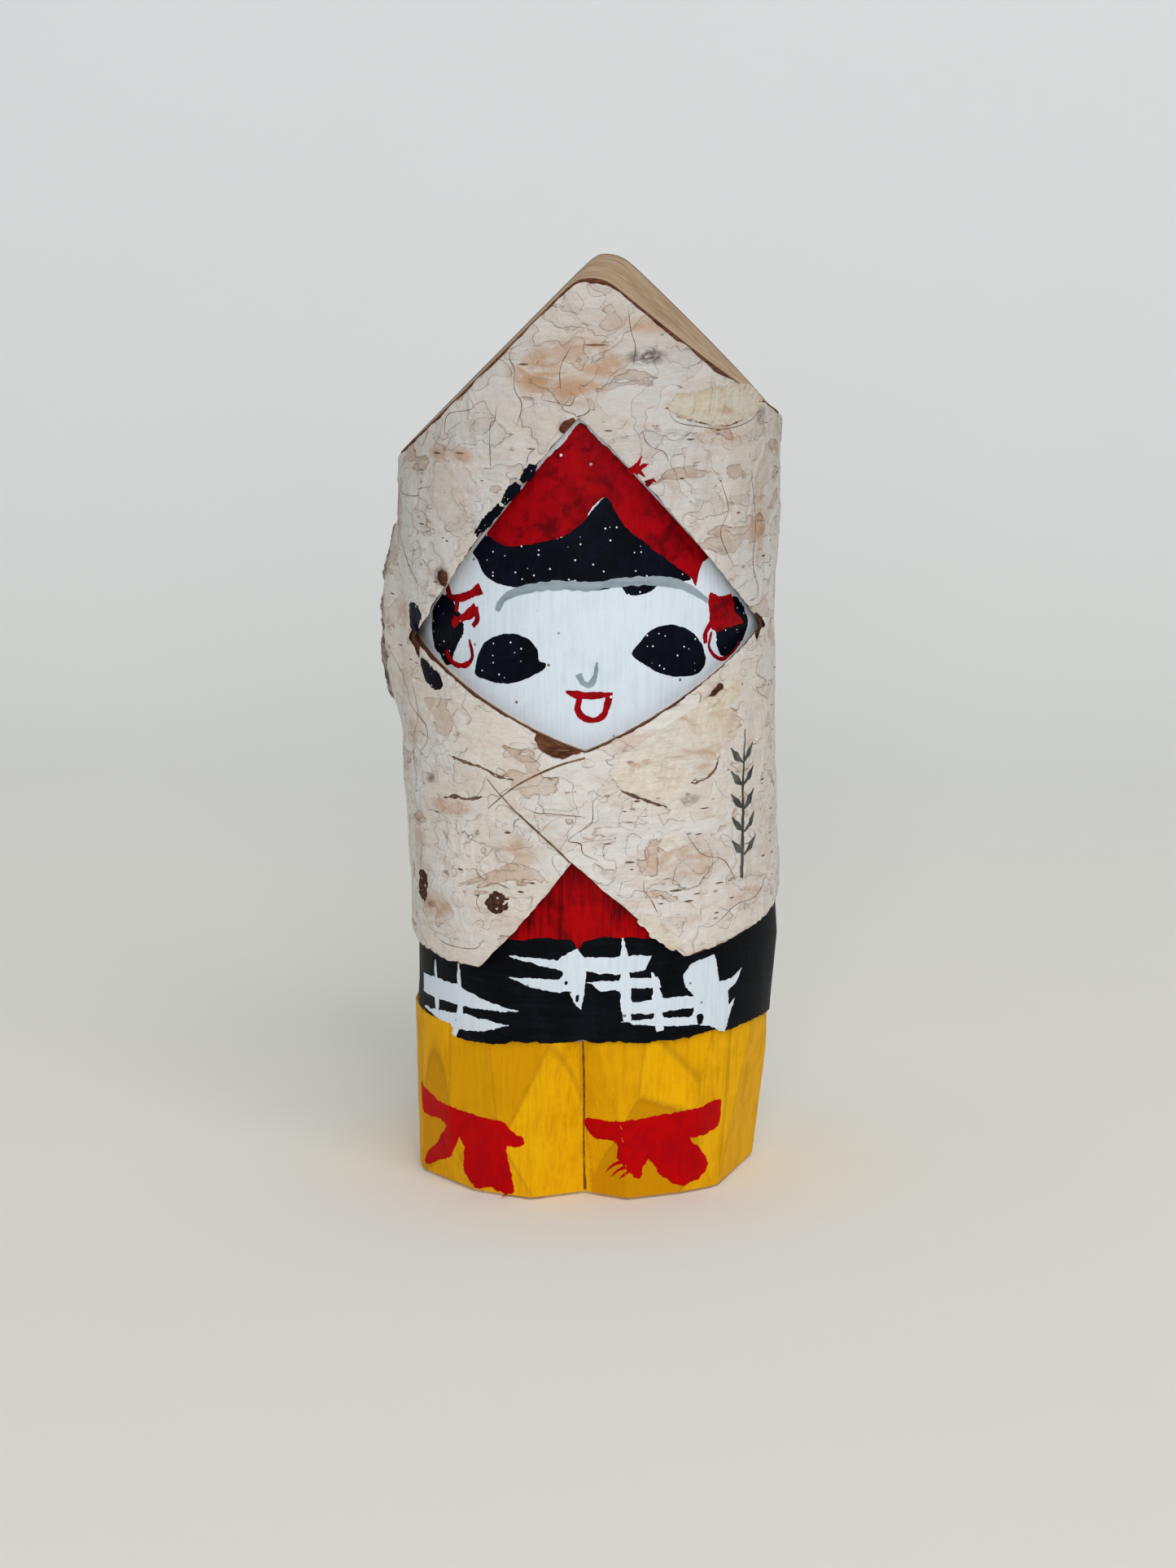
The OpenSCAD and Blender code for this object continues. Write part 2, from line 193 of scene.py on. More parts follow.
def rim_edges(tris: np.ndarray) -> np.ndarray:
    """Edges with a triangle on one side only, in that triangle's direction."""
    edges = np.vstack([tris[:, [0, 1]], tris[:, [1, 2]], tris[:, [2, 0]]])
    _, first, count = np.unique(np.sort(edges, axis=1), axis=0, return_index=True, return_counts=True)
    return edges[first[count == 1]]


def on_log(turn: np.ndarray, z: np.ndarray, radius: np.ndarray) -> np.ndarray:
    """Points at some directions, heights and radii, in metres.

    Args:
        turn: Directions from the front, in radians.
        z: Heights in millimetres.
        radius: Radii in millimetres.

    Returns:
        N x 3 metres.
    """
    return np.column_stack([radius * np.sin(turn), -radius * np.cos(turn), z]) * MM


def straight_in(turn: np.ndarray, share: float) -> np.ndarray:
    """Directions, at a smaller radius, of the points that lie straight behind those on the bark.

    The openings were cut straight in from the front, so their walls aren't radial. Past the
    widest corner the directions ease back to the plain ones.

    Args:
        turn: Directions on the bark.
        share: The bark's radius as a share of the smaller one.

    Returns:
        The directions further in.
    """
    knee, free = math.radians(67), math.radians(112)
    known = np.linspace(0, knee, 60)
    inward = np.arcsin(np.minimum(np.sin(known) * share, 0.9985))
    return np.sign(turn) * np.interp(np.abs(turn), [*known, free, math.pi], [*inward, free, math.pi])


class Panel:
    """A flat drawing filled with small triangles, ready to be wrapped round the log."""

    def __init__(self, loops: Iterable, holes: Iterable = (), step: float = 1.0, seed: int = 1) -> None:
        """Fills the drawing.

        Args:
            loops: Closed outlines, which may overlap.
            holes: Closed outlines that are left open.
            step: Size of the triangles.
            seed: Picks the scatter of the points.
        """
        self.loops = [turned_left(np.asarray(loop, float)) for loop in loops]
        self.holes = [turned_left(np.asarray(hole, float)) for hole in holes]
        outline, edges = [], []
        start = 0
        for loop in self.loops + self.holes:
            count = len(loop)
            outline.append(loop)
            edges += [(start + i, start + (i + 1) % count) for i in range(count)]
            start += count
        border = np.vstack(outline)
        self.points, self.tris, _ = self._triangles(border, edges, step, seed)

    def _inside(self, points: np.ndarray) -> np.ndarray:
        """Which points are in the drawing and in none of its holes."""
        hit = np.zeros(len(points), bool)
        for loop in self.loops:
            hit |= covered(points, loop)
        for hole in self.holes:
            hit &= ~covered(points, hole)
        return hit

    def _triangles(self, border: np.ndarray, edges: list, step: float, seed: int) -> tuple:
        """Triangles over the drawing, with the border's edges kept.

        Args:
            border: The border's points.
            edges: Pairs of border points.
            step: Distance between inner points.
            seed: Picks their scatter.

        Returns:
            Points, triangles, and the new number of each border point.
        """
        low, high = border.min(0), border.max(0)
        rows = np.arange(low[1] + step / 2, high[1], step * ROW_STEP)
        columns = np.arange(low[0] + step / 2, high[0], step)
        inner = np.zeros((0, 2))
        if len(rows) and len(columns):
            grid_x, grid_y = np.meshgrid(columns, rows)
            grid_x[1::2] += step / 2
            scatter = np.random.default_rng(seed).uniform(-0.16, 0.16, (grid_x.size, 2)) * step
            inner = np.column_stack([grid_x.ravel(), grid_y.ravel()]) + scatter
            inner = inner[self._inside(inner)]
            tree = kdtree.KDTree(len(border))
            for i, point in enumerate(border):
                tree.insert((point[0], point[1], 0.0), i)
            tree.balance()
            far = [tree.find((x, y, 0.0))[2] > 0.5 * step for x, y in inner]
            inner = inner[np.array(far, bool)] if len(inner) else inner
        given = [Vector(p) for p in np.vstack([border, inner])]
        made = delaunay_2d_cdt(given, edges, [], 0, 1e-6)
        points = np.array([(v.x, v.y) for v in made[0]])
        tris = np.array([f for f in made[2] if len(f) == 3])
        tris = tris[self._inside(points[tris].mean(axis=1))]
        used, flat = np.unique(tris, return_inverse=True)
        new_number = {old: new for new, old in enumerate(used)}
        match = {}
        for old, origins in enumerate(made[3]):
            for origin in origins:
                if origin < len(border) and old in new_number:
                    match[origin] = new_number[old]
        return points[used], flat.reshape(tris.shape), match

    def wrap(
        self,
        name: str,
        ref: float,
        outer: Radius,
        inner: Radius,
        coarse: Optional[float] = None,
        seam: Optional[float] = None,
        rim_drop: float = 0.0,
        shares: tuple[float, float] = (1.0, 1.0),
        roof: Optional["RoofCut"] = None,
        roof_gap: float = 0.0,
    ) -> bpy.types.Object:
        """A closed piece wrapped round the log.

        Args:
            name: The piece's name.
            ref: Radius at which the drawing was made.
            outer: Radius of the outer face, from turn and height.
            inner: Radius of the inner face.
            coarse: Size of the inner face's triangles, or None for the outer ones again.
            seam: Distance round at which both ends meet at the back.
            rim_drop: How far the outer face's edge is rounded down.
            shares: The bark's radius as a share of the outer and the inner face's.
            roof: The roof cuts that end the piece, if it reaches them.
            roof_gap: How far the piece stays below those cuts.

        Returns:
            The new object, with its place in its mesh.
        """
        rim = rim_edges(self.tris)
        low_points, low_tris = self.points, self.tris
        match = {i: i for i in range(len(self.points))}
        if coarse is not None:
            ids = np.unique(rim)
            place = {old: new for new, old in enumerate(ids)}
            edges = [(place[a], place[b]) for a, b in rim]
            low_points, low_tris, found = self._triangles(self.points[ids], edges, coarse, 5)
            match = {old: found[place[old]] for old in ids if place[old] in found}
        turn = straight_in(self.points[:, 0] / ref, shares[0])
        outer_r = outer(turn, self.points[:, 1])
        if rim_drop:
            outer_r = outer_r.copy()
            outer_r[np.unique(rim)] -= rim_drop
        low_turn = straight_in(low_points[:, 0] / ref, shares[1])
        inner_r = inner(low_turn, low_points[:, 1])
        count = len(self.points)
        verts = np.vstack([
            on_log(turn, self.points[:, 1], outer_r),
            on_log(low_turn, low_points[:, 1], inner_r),
        ])
        if roof is not None:
            flat = np.vstack([self.points, low_points])
            cut = roof.height(verts[:, 0] / MM, verts[:, 1] / MM)
            at_cut = np.abs(flat[:, 1] - roof.height(ref * np.sin(flat[:, 0] / ref))) < 0.03
            around = zip(np.sin(flat[:, 0] / ref) * 7, np.cos(flat[:, 0] / ref) * 7)
            worn = [noise.fractal(Vector((x, y, 1.0)), 0.7, 2.0, 3) for x, y in around]
            cut = cut - roof_gap * np.clip(1.0 + 1.1 * np.array(worn), 0.1, 2.2)
            verts[:, 2] = np.where(at_cut, cut, np.minimum(cut, verts[:, 2] / MM)) * MM
        faces = [tuple(map(int, t)) for t in self.tris]
        faces += [(int(c) + count, int(b) + count, int(a) + count) for a, b, c in low_tris]
        for a, b in rim:
            at_seam = seam is not None and min(abs(self.points[[a, b], 0])) > seam - 1e-4
            if not at_seam and a in match and b in match:
                faces.append((int(b), int(a), match[a] + count, match[b] + count))
        return new_piece(name, verts, faces, merge=seam is not None)


def new_piece(name: str, verts: np.ndarray, faces: list, merge: bool = False) -> bpy.types.Object:
    """A mesh object from points and faces.

    Args:
        name: The piece's name.
        verts: Points in metres.
        faces: Tuples of point numbers.
        merge: Whether doubles are merged.

    Returns:
        The object, linked to the scene.
    """
    mesh = bpy.data.meshes.new(name)
    mesh.from_pydata([tuple(v) for v in verts], [], faces)
    piece = bpy.data.objects.new(name, mesh)
    bpy.context.scene.collection.objects.link(piece)
    if merge:
        shape = bmesh.new()
        shape.from_mesh(mesh)
        bmesh.ops.remove_doubles(shape, verts=shape.verts, dist=0.004 * MM)
        shape.to_mesh(mesh)
        shape.free()
    mesh.validate()
    return piece


def unique(things: Iterable) -> list:
    """The things without doubles, in the order they come, so that every run gives the same mesh."""
    return list(dict.fromkeys(things))


def pick(piece: bpy.types.Object) -> None:
    """Makes a piece the only selected and the active one."""
    bpy.ops.object.select_all(action="DESELECT")
    piece.select_set(True)
    bpy.context.view_layer.objects.active = piece


def dress(
    piece: bpy.types.Object,
    material: bpy.types.Material,
    slot: str,
    stands_for: Sequence[str] = (),
    crease: float = 40.0,
) -> bpy.types.Object:
    """Gives a piece its finish and its shading, hangs it under the body's empty, and hides the CAD nodes it
    stands for.

    Args:
        piece: The piece.
        material: Its finish.
        slot: The record's material slot; not used.
        stands_for: CAD nodes that the piece replaces.
        crease: Edges sharper than this many degrees stay crisp.

    Returns:
        The same piece.
    """
    piece.data.materials.clear()
    piece.data.materials.append(material)
    pick(piece)
    bpy.ops.object.shade_smooth_by_angle(angle=math.radians(crease))
    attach(piece, BODY)
    if stands_for:
        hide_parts(*stands_for)
    LOG.info("%s: %d faces", piece.name, len(piece.data.polygons))
    return piece


def level(radius: float) -> Radius:
    """A radius that is the same all over."""
    return lambda turn, z: np.full(len(turn), radius)


# ---------------------------------------------------------------- finishes


def linear(colour: Rgb) -> tuple[float, float, float, float]:
    """A display colour of 0 to 255 as the shader's own values."""
    parts = [c / 255 for c in colour]
    return (*[p / 12.92 if p <= 0.04045 else ((p + 0.055) / 1.055) ** 2.4 for p in parts], 1.0)


def places(piece: bpy.types.Object) -> tuple[np.ndarray, np.ndarray]:
    """Direction from the front, in radians, and height, in millimetres, of each point of a piece."""
    co = np.zeros(len(piece.data.vertices) * 3, np.float32)
    piece.data.vertices.foreach_get("co", co)
    co = co.reshape(-1, 3).astype(float) / MM
    return np.arctan2(co[:, 0], -co[:, 1]), co[:, 2]


def store(piece: bpy.types.Object, name: str, values: np.ndarray) -> None:
    """Writes a number or a vector at each point of a piece, for its finish to read."""
    kind, part = ("FLOAT_VECTOR", "vector") if values.ndim == 2 else ("FLOAT", "value")
    made = piece.data.attributes.new(name, kind, "POINT")
    made.data.foreach_set(part, values.astype(np.float32).ravel())


class NodePen:
    """Draws one material's nodes."""

    def __init__(self, name: str) -> None:
        """Starts an empty material."""
        self.material = bpy.data.materials.new(name)
        self.material.use_nodes = True
        self.tree = self.material.node_tree
        self.tree.nodes.clear()

    def node(self, kind: str, **settings: object) -> bpy.types.Node:
        """A new node with its settings."""
        made = self.tree.nodes.new(kind)
        for key, value in settings.items():
            setattr(made, key, value)
        return made

    def feed(self, socket: bpy.types.NodeSocket, value: object) -> None:
        """Links a socket to another, or sets its plain value."""
        if isinstance(value, bpy.types.NodeSocket):
            self.tree.links.new(value, socket)
        else:
            socket.default_value = value

    def place(self, size: Size, shift: float = 0.0) -> bpy.types.NodeSocket:
        """Object coordinates counted in steps of some millimetres along each axis."""
        mapping = self.node("ShaderNodeMapping")
        self.feed(mapping.inputs["Vector"], self.node("ShaderNodeTexCoord").outputs["Object"])
        mapping.inputs["Scale"].default_value = [1.0 / (s * MM) for s in size]
        mapping.inputs["Location"].default_value = (shift, shift * 0.7, shift * 1.3)
        return mapping.outputs[0]

    def clouds(
        self,
        size: Size,
        detail: float = 4.0,
        shift: float = 0.0,
        warp: float = 0.0,
        rough: float = 0.55,
    ) -> bpy.types.NodeSocket:
        """Soft noise from 0 to 1.

        Args:
            size: Size of a patch along each axis, in millimetres.
            detail: Octaves.
            shift: Moves the pattern.
            warp: How much it swirls.
            rough: Strength of the finer octaves.

        Returns:
            The noise value.
        """
        made = self.node("ShaderNodeTexNoise")
        self.feed(made.inputs["Vector"], self.place(size, shift))
        made.inputs["Scale"].default_value = 1.0
        made.inputs["Detail"].default_value = detail
        made.inputs["Roughness"].default_value = rough
        made.inputs["Distortion"].default_value = warp
        return made.outputs[0]

    def dots(
        self, size: Size, shift: float, outer: float, inner: float, few: float, all_from: float
    ) -> bpy.types.NodeSocket:
        """Scattered dots, some of them left out.

        Args:
            size: Distance between dots along each axis, in millimetres.
            shift: Moves the pattern.
            outer: Where a dot ends, as a share of that distance.
            inner: Where it is full.
            few: Share of the dots that are left out.
            all_from: Share from which they are full.

        Returns:
            The mask, from 0 to 1.
        """
        cells = self.node("ShaderNodeTexVoronoi")
        self.feed(cells.inputs["Vector"], self.place(size, shift))
        cells.inputs["Scale"].default_value = 1.0
        chosen = self.node("ShaderNodeSeparateColor")
        self.feed(chosen.inputs[0], cells.outputs["Color"])
        near = self.window(cells.outputs["Distance"], outer, inner)
        return self.times(near, self.window(chosen.outputs[0], few, all_from))

    def window(self, value: object, low: float, high: float) -> bpy.types.NodeSocket:
        """0 below low, 1 above high, with a soft change between."""
        made = self.node("ShaderNodeMapRange", interpolation_type="SMOOTHSTEP")
        self.feed(made.inputs["Value"], value)
        made.inputs["From Min"].default_value = low
        made.inputs["From Max"].default_value = high
        return made.outputs[0]

    def spots(self, low: float, high: float, *cloud: object) -> bpy.types.NodeSocket:
        """Soft noise that is 0 below one value and 1 above another."""
        return self.window(self.clouds(*cloud), low, high)

    def times(self, first: object, second: object) -> bpy.types.NodeSocket:
        """The product of two values."""
        return self.maths("MULTIPLY", first, second)

    def plus(self, first: object, second: object) -> bpy.types.NodeSocket:
        """The sum of two values."""
        return self.maths("ADD", first, second)

    def maths(self, operation: str, first: object, second: object = 0.0) -> bpy.types.NodeSocket:
        """One step of arithmetic."""
        made = self.node("ShaderNodeMath", operation=operation)
        self.feed(made.inputs[0], first)
        self.feed(made.inputs[1], second)
        return made.outputs[0]

    def mix(self, share: object, first: object, second: object, way: str = "MIX") -> bpy.types.NodeSocket:
        """A mix of two colours, each a socket or a display colour."""
        made = self.node("ShaderNodeMix", data_type="RGBA", blend_type=way)
        self.feed(made.inputs[0], share)
        for number, colour in ((6, first), (7, second)):
            self.feed(made.inputs[number], linear(colour) if isinstance(colour, tuple) else colour)
        return made.outputs[2]

    def over(self, colour: object, tint: Rgb, share: object, strength: float) -> bpy.types.NodeSocket:
        """The colour with a tint laid over it where a mask says."""
        return self.mix(self.times(share, strength), colour, tint)

    def mark(self, name: str) -> bpy.types.Node:
        """A named attribute of the mesh."""
        return self.node("ShaderNodeAttribute", attribute_name=name)

    def relief(self, height: object, depth: float, before: object = None) -> bpy.types.NodeSocket:
        """A bump of that many millimetres, on top of another if there is one."""
        made = self.node("ShaderNodeBump")
        made.inputs["Strength"].default_value = 1.0
        made.inputs["Distance"].default_value = depth * MM
        self.feed(made.inputs["Height"], height)
        if before is not None:
            self.feed(made.inputs["Normal"], before)
        return made.outputs[0]

    def close(
        self,
        colour: object,
        roughness: object,
        normal: Optional[bpy.types.NodeSocket] = None,
        specular: float = 0.4,
        coat: float = 0.0,
    ) -> bpy.types.Material:
        """Joins everything to the surface.

        Args:
            colour: Base colour.
            roughness: Roughness.
            normal: Bump.
            specular: Specular level.
            coat: Weight of a clear coat.

        Returns:
            The finished material.
        """
        surface = self.node("ShaderNodeBsdfPrincipled")
        self.feed(surface.inputs["Base Color"], colour)
        self.feed(surface.inputs["Roughness"], roughness)
        surface.inputs["Specular IOR Level"].default_value = specular
        surface.inputs["Coat Weight"].default_value = coat
        surface.inputs["Coat Roughness"].default_value = 0.35
        if normal is not None:
            self.feed(surface.inputs["Normal"], normal)
        output = self.node("ShaderNodeOutputMaterial")
        self.feed(output.inputs["Surface"], surface.outputs[0])
        return self.material


@dataclass(frozen=True)
class BirchBark:
    """Papery off-white bark with tan stains, peel edges and dark dashes."""

    name: str = "birch_bark"
    cream: Rgb = (213, 199, 184)
    grey_white: Rgb = (214, 213, 212)
    blush: Rgb = (203, 173, 153)
    stain: Rgb = (184, 140, 100)
    soak: Rgb = (184, 134, 88)
    edge: Rgb = (104, 78, 60)
    paper: Rgb = (238, 235, 230)
    hood_grey_and_shade: Rgb = (214, 213, 214)
    burnt: Rgb = (66, 42, 32)
    peel_lines: bool = True

    def make(self) -> bpy.types.Material:
        """Builds the material."""
        pen = NodePen(self.name)
        marks = pen.node("ShaderNodeSeparateXYZ")
        pen.feed(marks.inputs[0], pen.mark("marks").outputs["Vector"])
        colour = pen.mix(pen.spots(0.4, 0.62, (30, 30, 22), 3), self.cream, self.grey_white)
        blush = pen.spots(0.5, 0.72, (15, 15, 9), 5, 4.0, 0.6)
        colour = pen.over(colour, self.blush, blush, 0.6)
        veil = pen.spots(0.42, 0.75, (9, 9, 2.2), 6, 9.0, 0.8, 0.65)
        colour = pen.over(colour, self.paper, veil, 0.4)
        blots = pen.spots(0.52, 0.68, (11, 11, 6), 7, 14.0, 1.2, 0.62)
        laid = pen.times(marks.outputs[0], pen.spots(0.3, 0.6, (6, 6, 4), 6, 2.0, 0.8, 0.6))
        stained = pen.maths("MINIMUM", pen.plus(pen.times(blots, 0.6), pen.times(laid, 0.95)), 1.0)
        colour = pen.mix(stained, colour, self.stain)
        pale = pen.times(marks.outputs[1], pen.spots(0.25, 0.5, (4, 4, 2), 5, 6.0))
        colour = pen.mix(pale, colour, self.paper)
        fibre = pen.clouds((8, 8, 0.5), 6, 1.0, 0.3, 0.72)
        colour = pen.over(colour, self.blush, pen.window(fibre, 0.38, 0.72), 0.34)
        pores = pen.clouds((1.6, 1.6, 0.8), 6, 3.0, 0.7, 0.72)
        colour = pen.over(colour, self.stain, pen.window(pores, 0.54, 0.78), 0.5)
        # Painted highlights: small pale flecks in the paper colour.
        lights = pen.spots(0.55, 0.72, (3.0, 3.0, 1.4), 6, 31.0, 0.9, 0.72)
        colour = pen.over(colour, self.paper, lights, 0.55)
        parts = pen.node("ShaderNodeSeparateXYZ")
        pen.feed(parts.inputs[0], pen.place((1, 1, 1)))
        # Partly the bark's own grey, partly painted shade: the colour turns greyer and darker with height
        # towards the hood, and sooner where the stain patches lie.
        high = pen.window(pen.plus(parts.outputs[2], pen.times(blots, 14.0)), 92.0, 165.0)
        colour = pen.mix(high, colour, self.hood_grey_and_shade, "MULTIPLY")
        smear = pen.spots(0.55, 0.72, (7, 7, 1.5), 7, 52.0, 0.8, 0.66)
        colour = pen.over(colour, self.stain, smear, 0.6)
        folds = pen.clouds((11, 11, 15), 4, 61.0, 1.0, 0.5)
        crumple = pen.maths("ABSOLUTE", pen.maths("SUBTRACT", folds, 0.5))
        bump = pen.relief(pen.window(crumple, 0.0, 0.22), 0.34)
        bump = pen.relief(fibre, 0.16, bump)
        bump = pen.relief(pen.clouds((2.6, 2.6, 1.6), 6, 17.0, 0.6, 0.68), 0.4, bump)
        # Painted shade: the stain colour laid thinly along the bottoms of the crumpled folds.
        crease = pen.times(pen.window(crumple, 0.03, 0.0), 0.14)
        colour = pen.mix(crease, colour, self.stain)
        if self.peel_lines:
            wide = pen.plus(pen.mark("layer").outputs["Fac"], pen.times(pen.clouds((3, 3, 2), 6, 8.0), 0.2))
            small = pen.times(pen.clouds((17, 17, 9), 7, 40.0, 0.4, 0.5), 5.0)
            for value, strength, shift in ((wide, 0.7, 21.0), (small, 0.5, 24.0)):
                colour, bump = self._peel(pen, colour, bump, value, strength, shift)
        soaked = pen.times(marks.outputs[0], pen.spots(0.4, 0.56, (7, 7, 3.5), 6, 71.0, 0.7, 0.62))
        colour = pen.over(colour, self.soak, soaked, 0.7)
        fleck = pen.dots((5.5, 5.5, 2.4), 3.0, 0.16, 0.08, 0.7, 0.8)
        colour = pen.over(colour, self.edge, fleck, 0.6)
        dark = pen.times(marks.outputs[2], pen.spots(0.3, 0.55, (2.2, 2.2, 1.4), 5, 5.0))
        colour = pen.mix(dark, colour, self.burnt)
        roughness = pen.plus(pen.times(pen.clouds((6, 6, 3), 4), 0.3), 0.55)
        return pen.close(colour, roughness, bump, specular=0.3)

    def _peel(
        self,
        pen: NodePen,
        colour: bpy.types.NodeSocket,
        bump: bpy.types.NodeSocket,
        value: bpy.types.NodeSocket,
        strength: float,
        shift: float,
    ) -> tuple[bpy.types.NodeSocket, bpy.types.NodeSocket]:
        """Papery layers: each has its own tint, and a thin brown edge that comes and goes.

        Args:
            pen: The material's nodes.
            colour: Colour so far.
            bump: Bump so far.
            value: Counts the layers.
            strength: Strength of the brown edges.
            shift: Moves the pattern.

        Returns:
            The new colour and bump.
        """
        share = pen.maths("FRACT", value)
        count = pen.node("ShaderNodeTexWhiteNoise", noise_dimensions="1D")
        pen.feed(count.inputs["W"], pen.maths("FLOOR", value))
        tint = count.outputs["Value"]
        colour = pen.over(colour, self.paper, pen.window(tint, 0.5, 1.0), 0.42)
        colour = pen.over(colour, self.blush, pen.window(tint, 0.5, 0.0), 0.42)
        # A soft tan band darkens each layer as it nears the step up to the next, and a thin brown line runs
        # along the step.
        soft = pen.times(pen.window(share, 0.70, 0.97), pen.window(share, 1.0, 0.975))
        thin = pen.times(pen.window(share, 0.91, 0.96), pen.window(share, 1.0, 0.985))
        live = pen.spots(0.5, 0.66, (10, 10, 8), 4, shift)
        colour = pen.over(colour, self.stain, pen.times(soft, live), strength * 0.55)
        line = pen.times(thin, live)
        colour = pen.over(colour, self.edge, line, strength)
        rise = pen.plus(pen.maths("FLOOR", value), pen.window(share, 0.93, 1.0))
        return colour, pen.relief(rise, 0.2, bump)


@dataclass(frozen=True)
class Fibrous:
    """Dark, stringy inner bark, or craggy rough bark."""

    name: str
    dark: Rgb
    light: Rgb
    dust: Rgb
    strand: Size = (2.0, 2.0, 0.5)
    dusting: float = 0.25
    depth: float = 0.3

    def make(self) -> bpy.types.Material:
        """Builds the material."""
        pen = NodePen(self.name)
        strands = pen.clouds(self.strand, 6, 2.0, 0.8, 0.7)
        colour = pen.mix(pen.window(strands, 0.35, 0.68), self.dark, self.light)
        dust = pen.spots(0.52, 0.72, (4, 4, 2), 6, 11.0, 1.0, 0.65)
        colour = pen.over(colour, self.dust, dust, self.dusting)
        bump = pen.relief(strands, self.depth)
        bump = pen.relief(pen.clouds((0.7, 0.7, 0.5), 4, 5.0), self.depth * 0.3, bump)
        return pen.close(colour, 0.88, bump, specular=0.2)


@dataclass(frozen=True)
class CutWood:
    """Bare birch cut across the grain, with year rings and tool lines."""

    name: str = "cut_wood"
    light: Rgb = (206, 176, 140)
    mid: Rgb = (176, 142, 106)
    dark: Rgb = (120, 86, 60)
    ring: float = 2.1

    def make(self) -> bpy.types.Material:
        """Builds the material."""
        pen = NodePen(self.name)
        colour = pen.mix(pen.spots(0.35, 0.7, (14, 9, 14), 5, 2.0, 0.7), self.light, self.mid)
        rings = pen.node("ShaderNodeTexWave", wave_type="RINGS", rings_direction="Z")
        pen.feed(rings.inputs["Vector"], pen.place((self.ring * 6, self.ring * 6, self.ring * 40)))
        rings.inputs["Scale"].default_value = 1.0
        rings.inputs["Distortion"].default_value = 2.2
        rings.inputs["Detail"].default_value = 3.0
        colour = pen.over(colour, self.dark, rings.outputs["Fac"], 0.3)
        tool = pen.clouds((30, 0.8, 30), 4, 6.0, 0.2, 0.6)
        colour = pen.over(colour, self.dark, pen.window(tool, 0.5, 0.75), 0.45)
        pores = pen.clouds((0.7, 0.7, 6), 4, 12.0, 0.0, 0.7)
        colour = pen.over(colour, self.dark, pen.window(pores, 0.56, 0.7), 0.35)
        bump = pen.relief(tool, 0.12)
        bump = pen.relief(pores, 0.05, bump)
        return pen.close(colour, 0.78, bump, specular=0.3)


class Stroke(Enum):
    """Which way the brush went."""

    UPRIGHT = (0.9, 0.9, 12.0)
    ROUND = (10.0, 10.0, 1.0)
    DAUBED = (3.0, 3.0, 3.0)


@dataclass(frozen=True)
class Paint:
    """Poster paint brushed on bare wood."""

    name: str
    tone: Rgb
    shade: Rgb
    stroke: Stroke = Stroke.ROUND
    shading: float = 0.6
    speck: Rgb = (235, 238, 240)
    specks: float = 0.0
    speck_size: float = 2.4
    gloss: float = 0.45
    shine: float = 0.05
    worn: Rgb = (190, 160, 120)
    wear: float = 0.0
    grain: float = 0.10
    faceted: bool = False

    def make(self) -> bpy.types.Material:
        """Builds the material."""
        pen = NodePen(self.name)
        streaks = pen.clouds(self.stroke.value, 6, 2.0, 0.5, 0.62)
        pools = pen.clouds((7, 7, 7), 5, 7.0, 0.8)
        depth = pen.window(pen.plus(pen.times(streaks, 0.55), pen.times(pools, 0.45)), 0.42, 0.64)
        colour = pen.mix(pen.times(depth, self.shading), self.tone, self.shade)
        if self.specks:
            fewer = 1 - self.specks
            dot = pen.dots((self.speck_size,) * 3, 5.0, 0.19, 0.11, fewer, fewer + 0.02)
            colour = pen.mix(dot, colour, self.speck)
        if self.faceted:
            # Each chisel cut lighter or darker by its own tone: partly painted shade for how light falls on
            # each facet, partly uneven paint.
            tone = pen.mark("cut")
            colour = pen.over(colour, self.shade, tone.outputs["Fac"], 0.95)
            olive = pen.times(pen.window(pen.mark("rim").outputs["Fac"], 0.1, 1.0), 0.42)
            colour = pen.mix(olive, colour, self.worn)
        if self.wear:
            bare = pen.spots(1 - self.wear, 1.06 - self.wear, (1.6, 1.6, 2.4), 6, 13.0, 0.5, 0.7)
            colour = pen.mix(bare, colour, self.worn)
        wood = pen.clouds((0.55, 0.55, 7.0), 4, 19.0, 0.2, 0.6)
        bump = pen.relief(wood, self.grain)
        bump = pen.relief(streaks, 0.06, bump)
        roughness = pen.plus(pen.times(pools, 0.25), self.gloss)
        return pen.close(colour, roughness, bump, specular=self.shine)


@dataclass(frozen=True)
class StudioPaper:
    """Matt paper: cream on the floor, cooler and darker up the wall."""

    floor: Rgb = (241, 239, 231)
    wall: Rgb = (238, 241, 242)

    def make(self) -> bpy.types.Material:
        """Builds the material."""
        pen = NodePen("studio_paper")
        parts = pen.node("ShaderNodeSeparateXYZ")
        pen.feed(parts.inputs[0], pen.place((1000, 1000, 1000)))
        rise = pen.window(parts.outputs[1], 0.15, 1.0)
        colour = pen.mix(rise, self.floor, self.wall)
        mottle = pen.clouds((60, 60, 60), 5)
        colour = pen.over(colour, (200, 190, 175), mottle, 0.05)
        return pen.close(colour, 0.9, pen.relief(pen.clouds((3, 3, 3), 4), 0.05), specular=0.1)


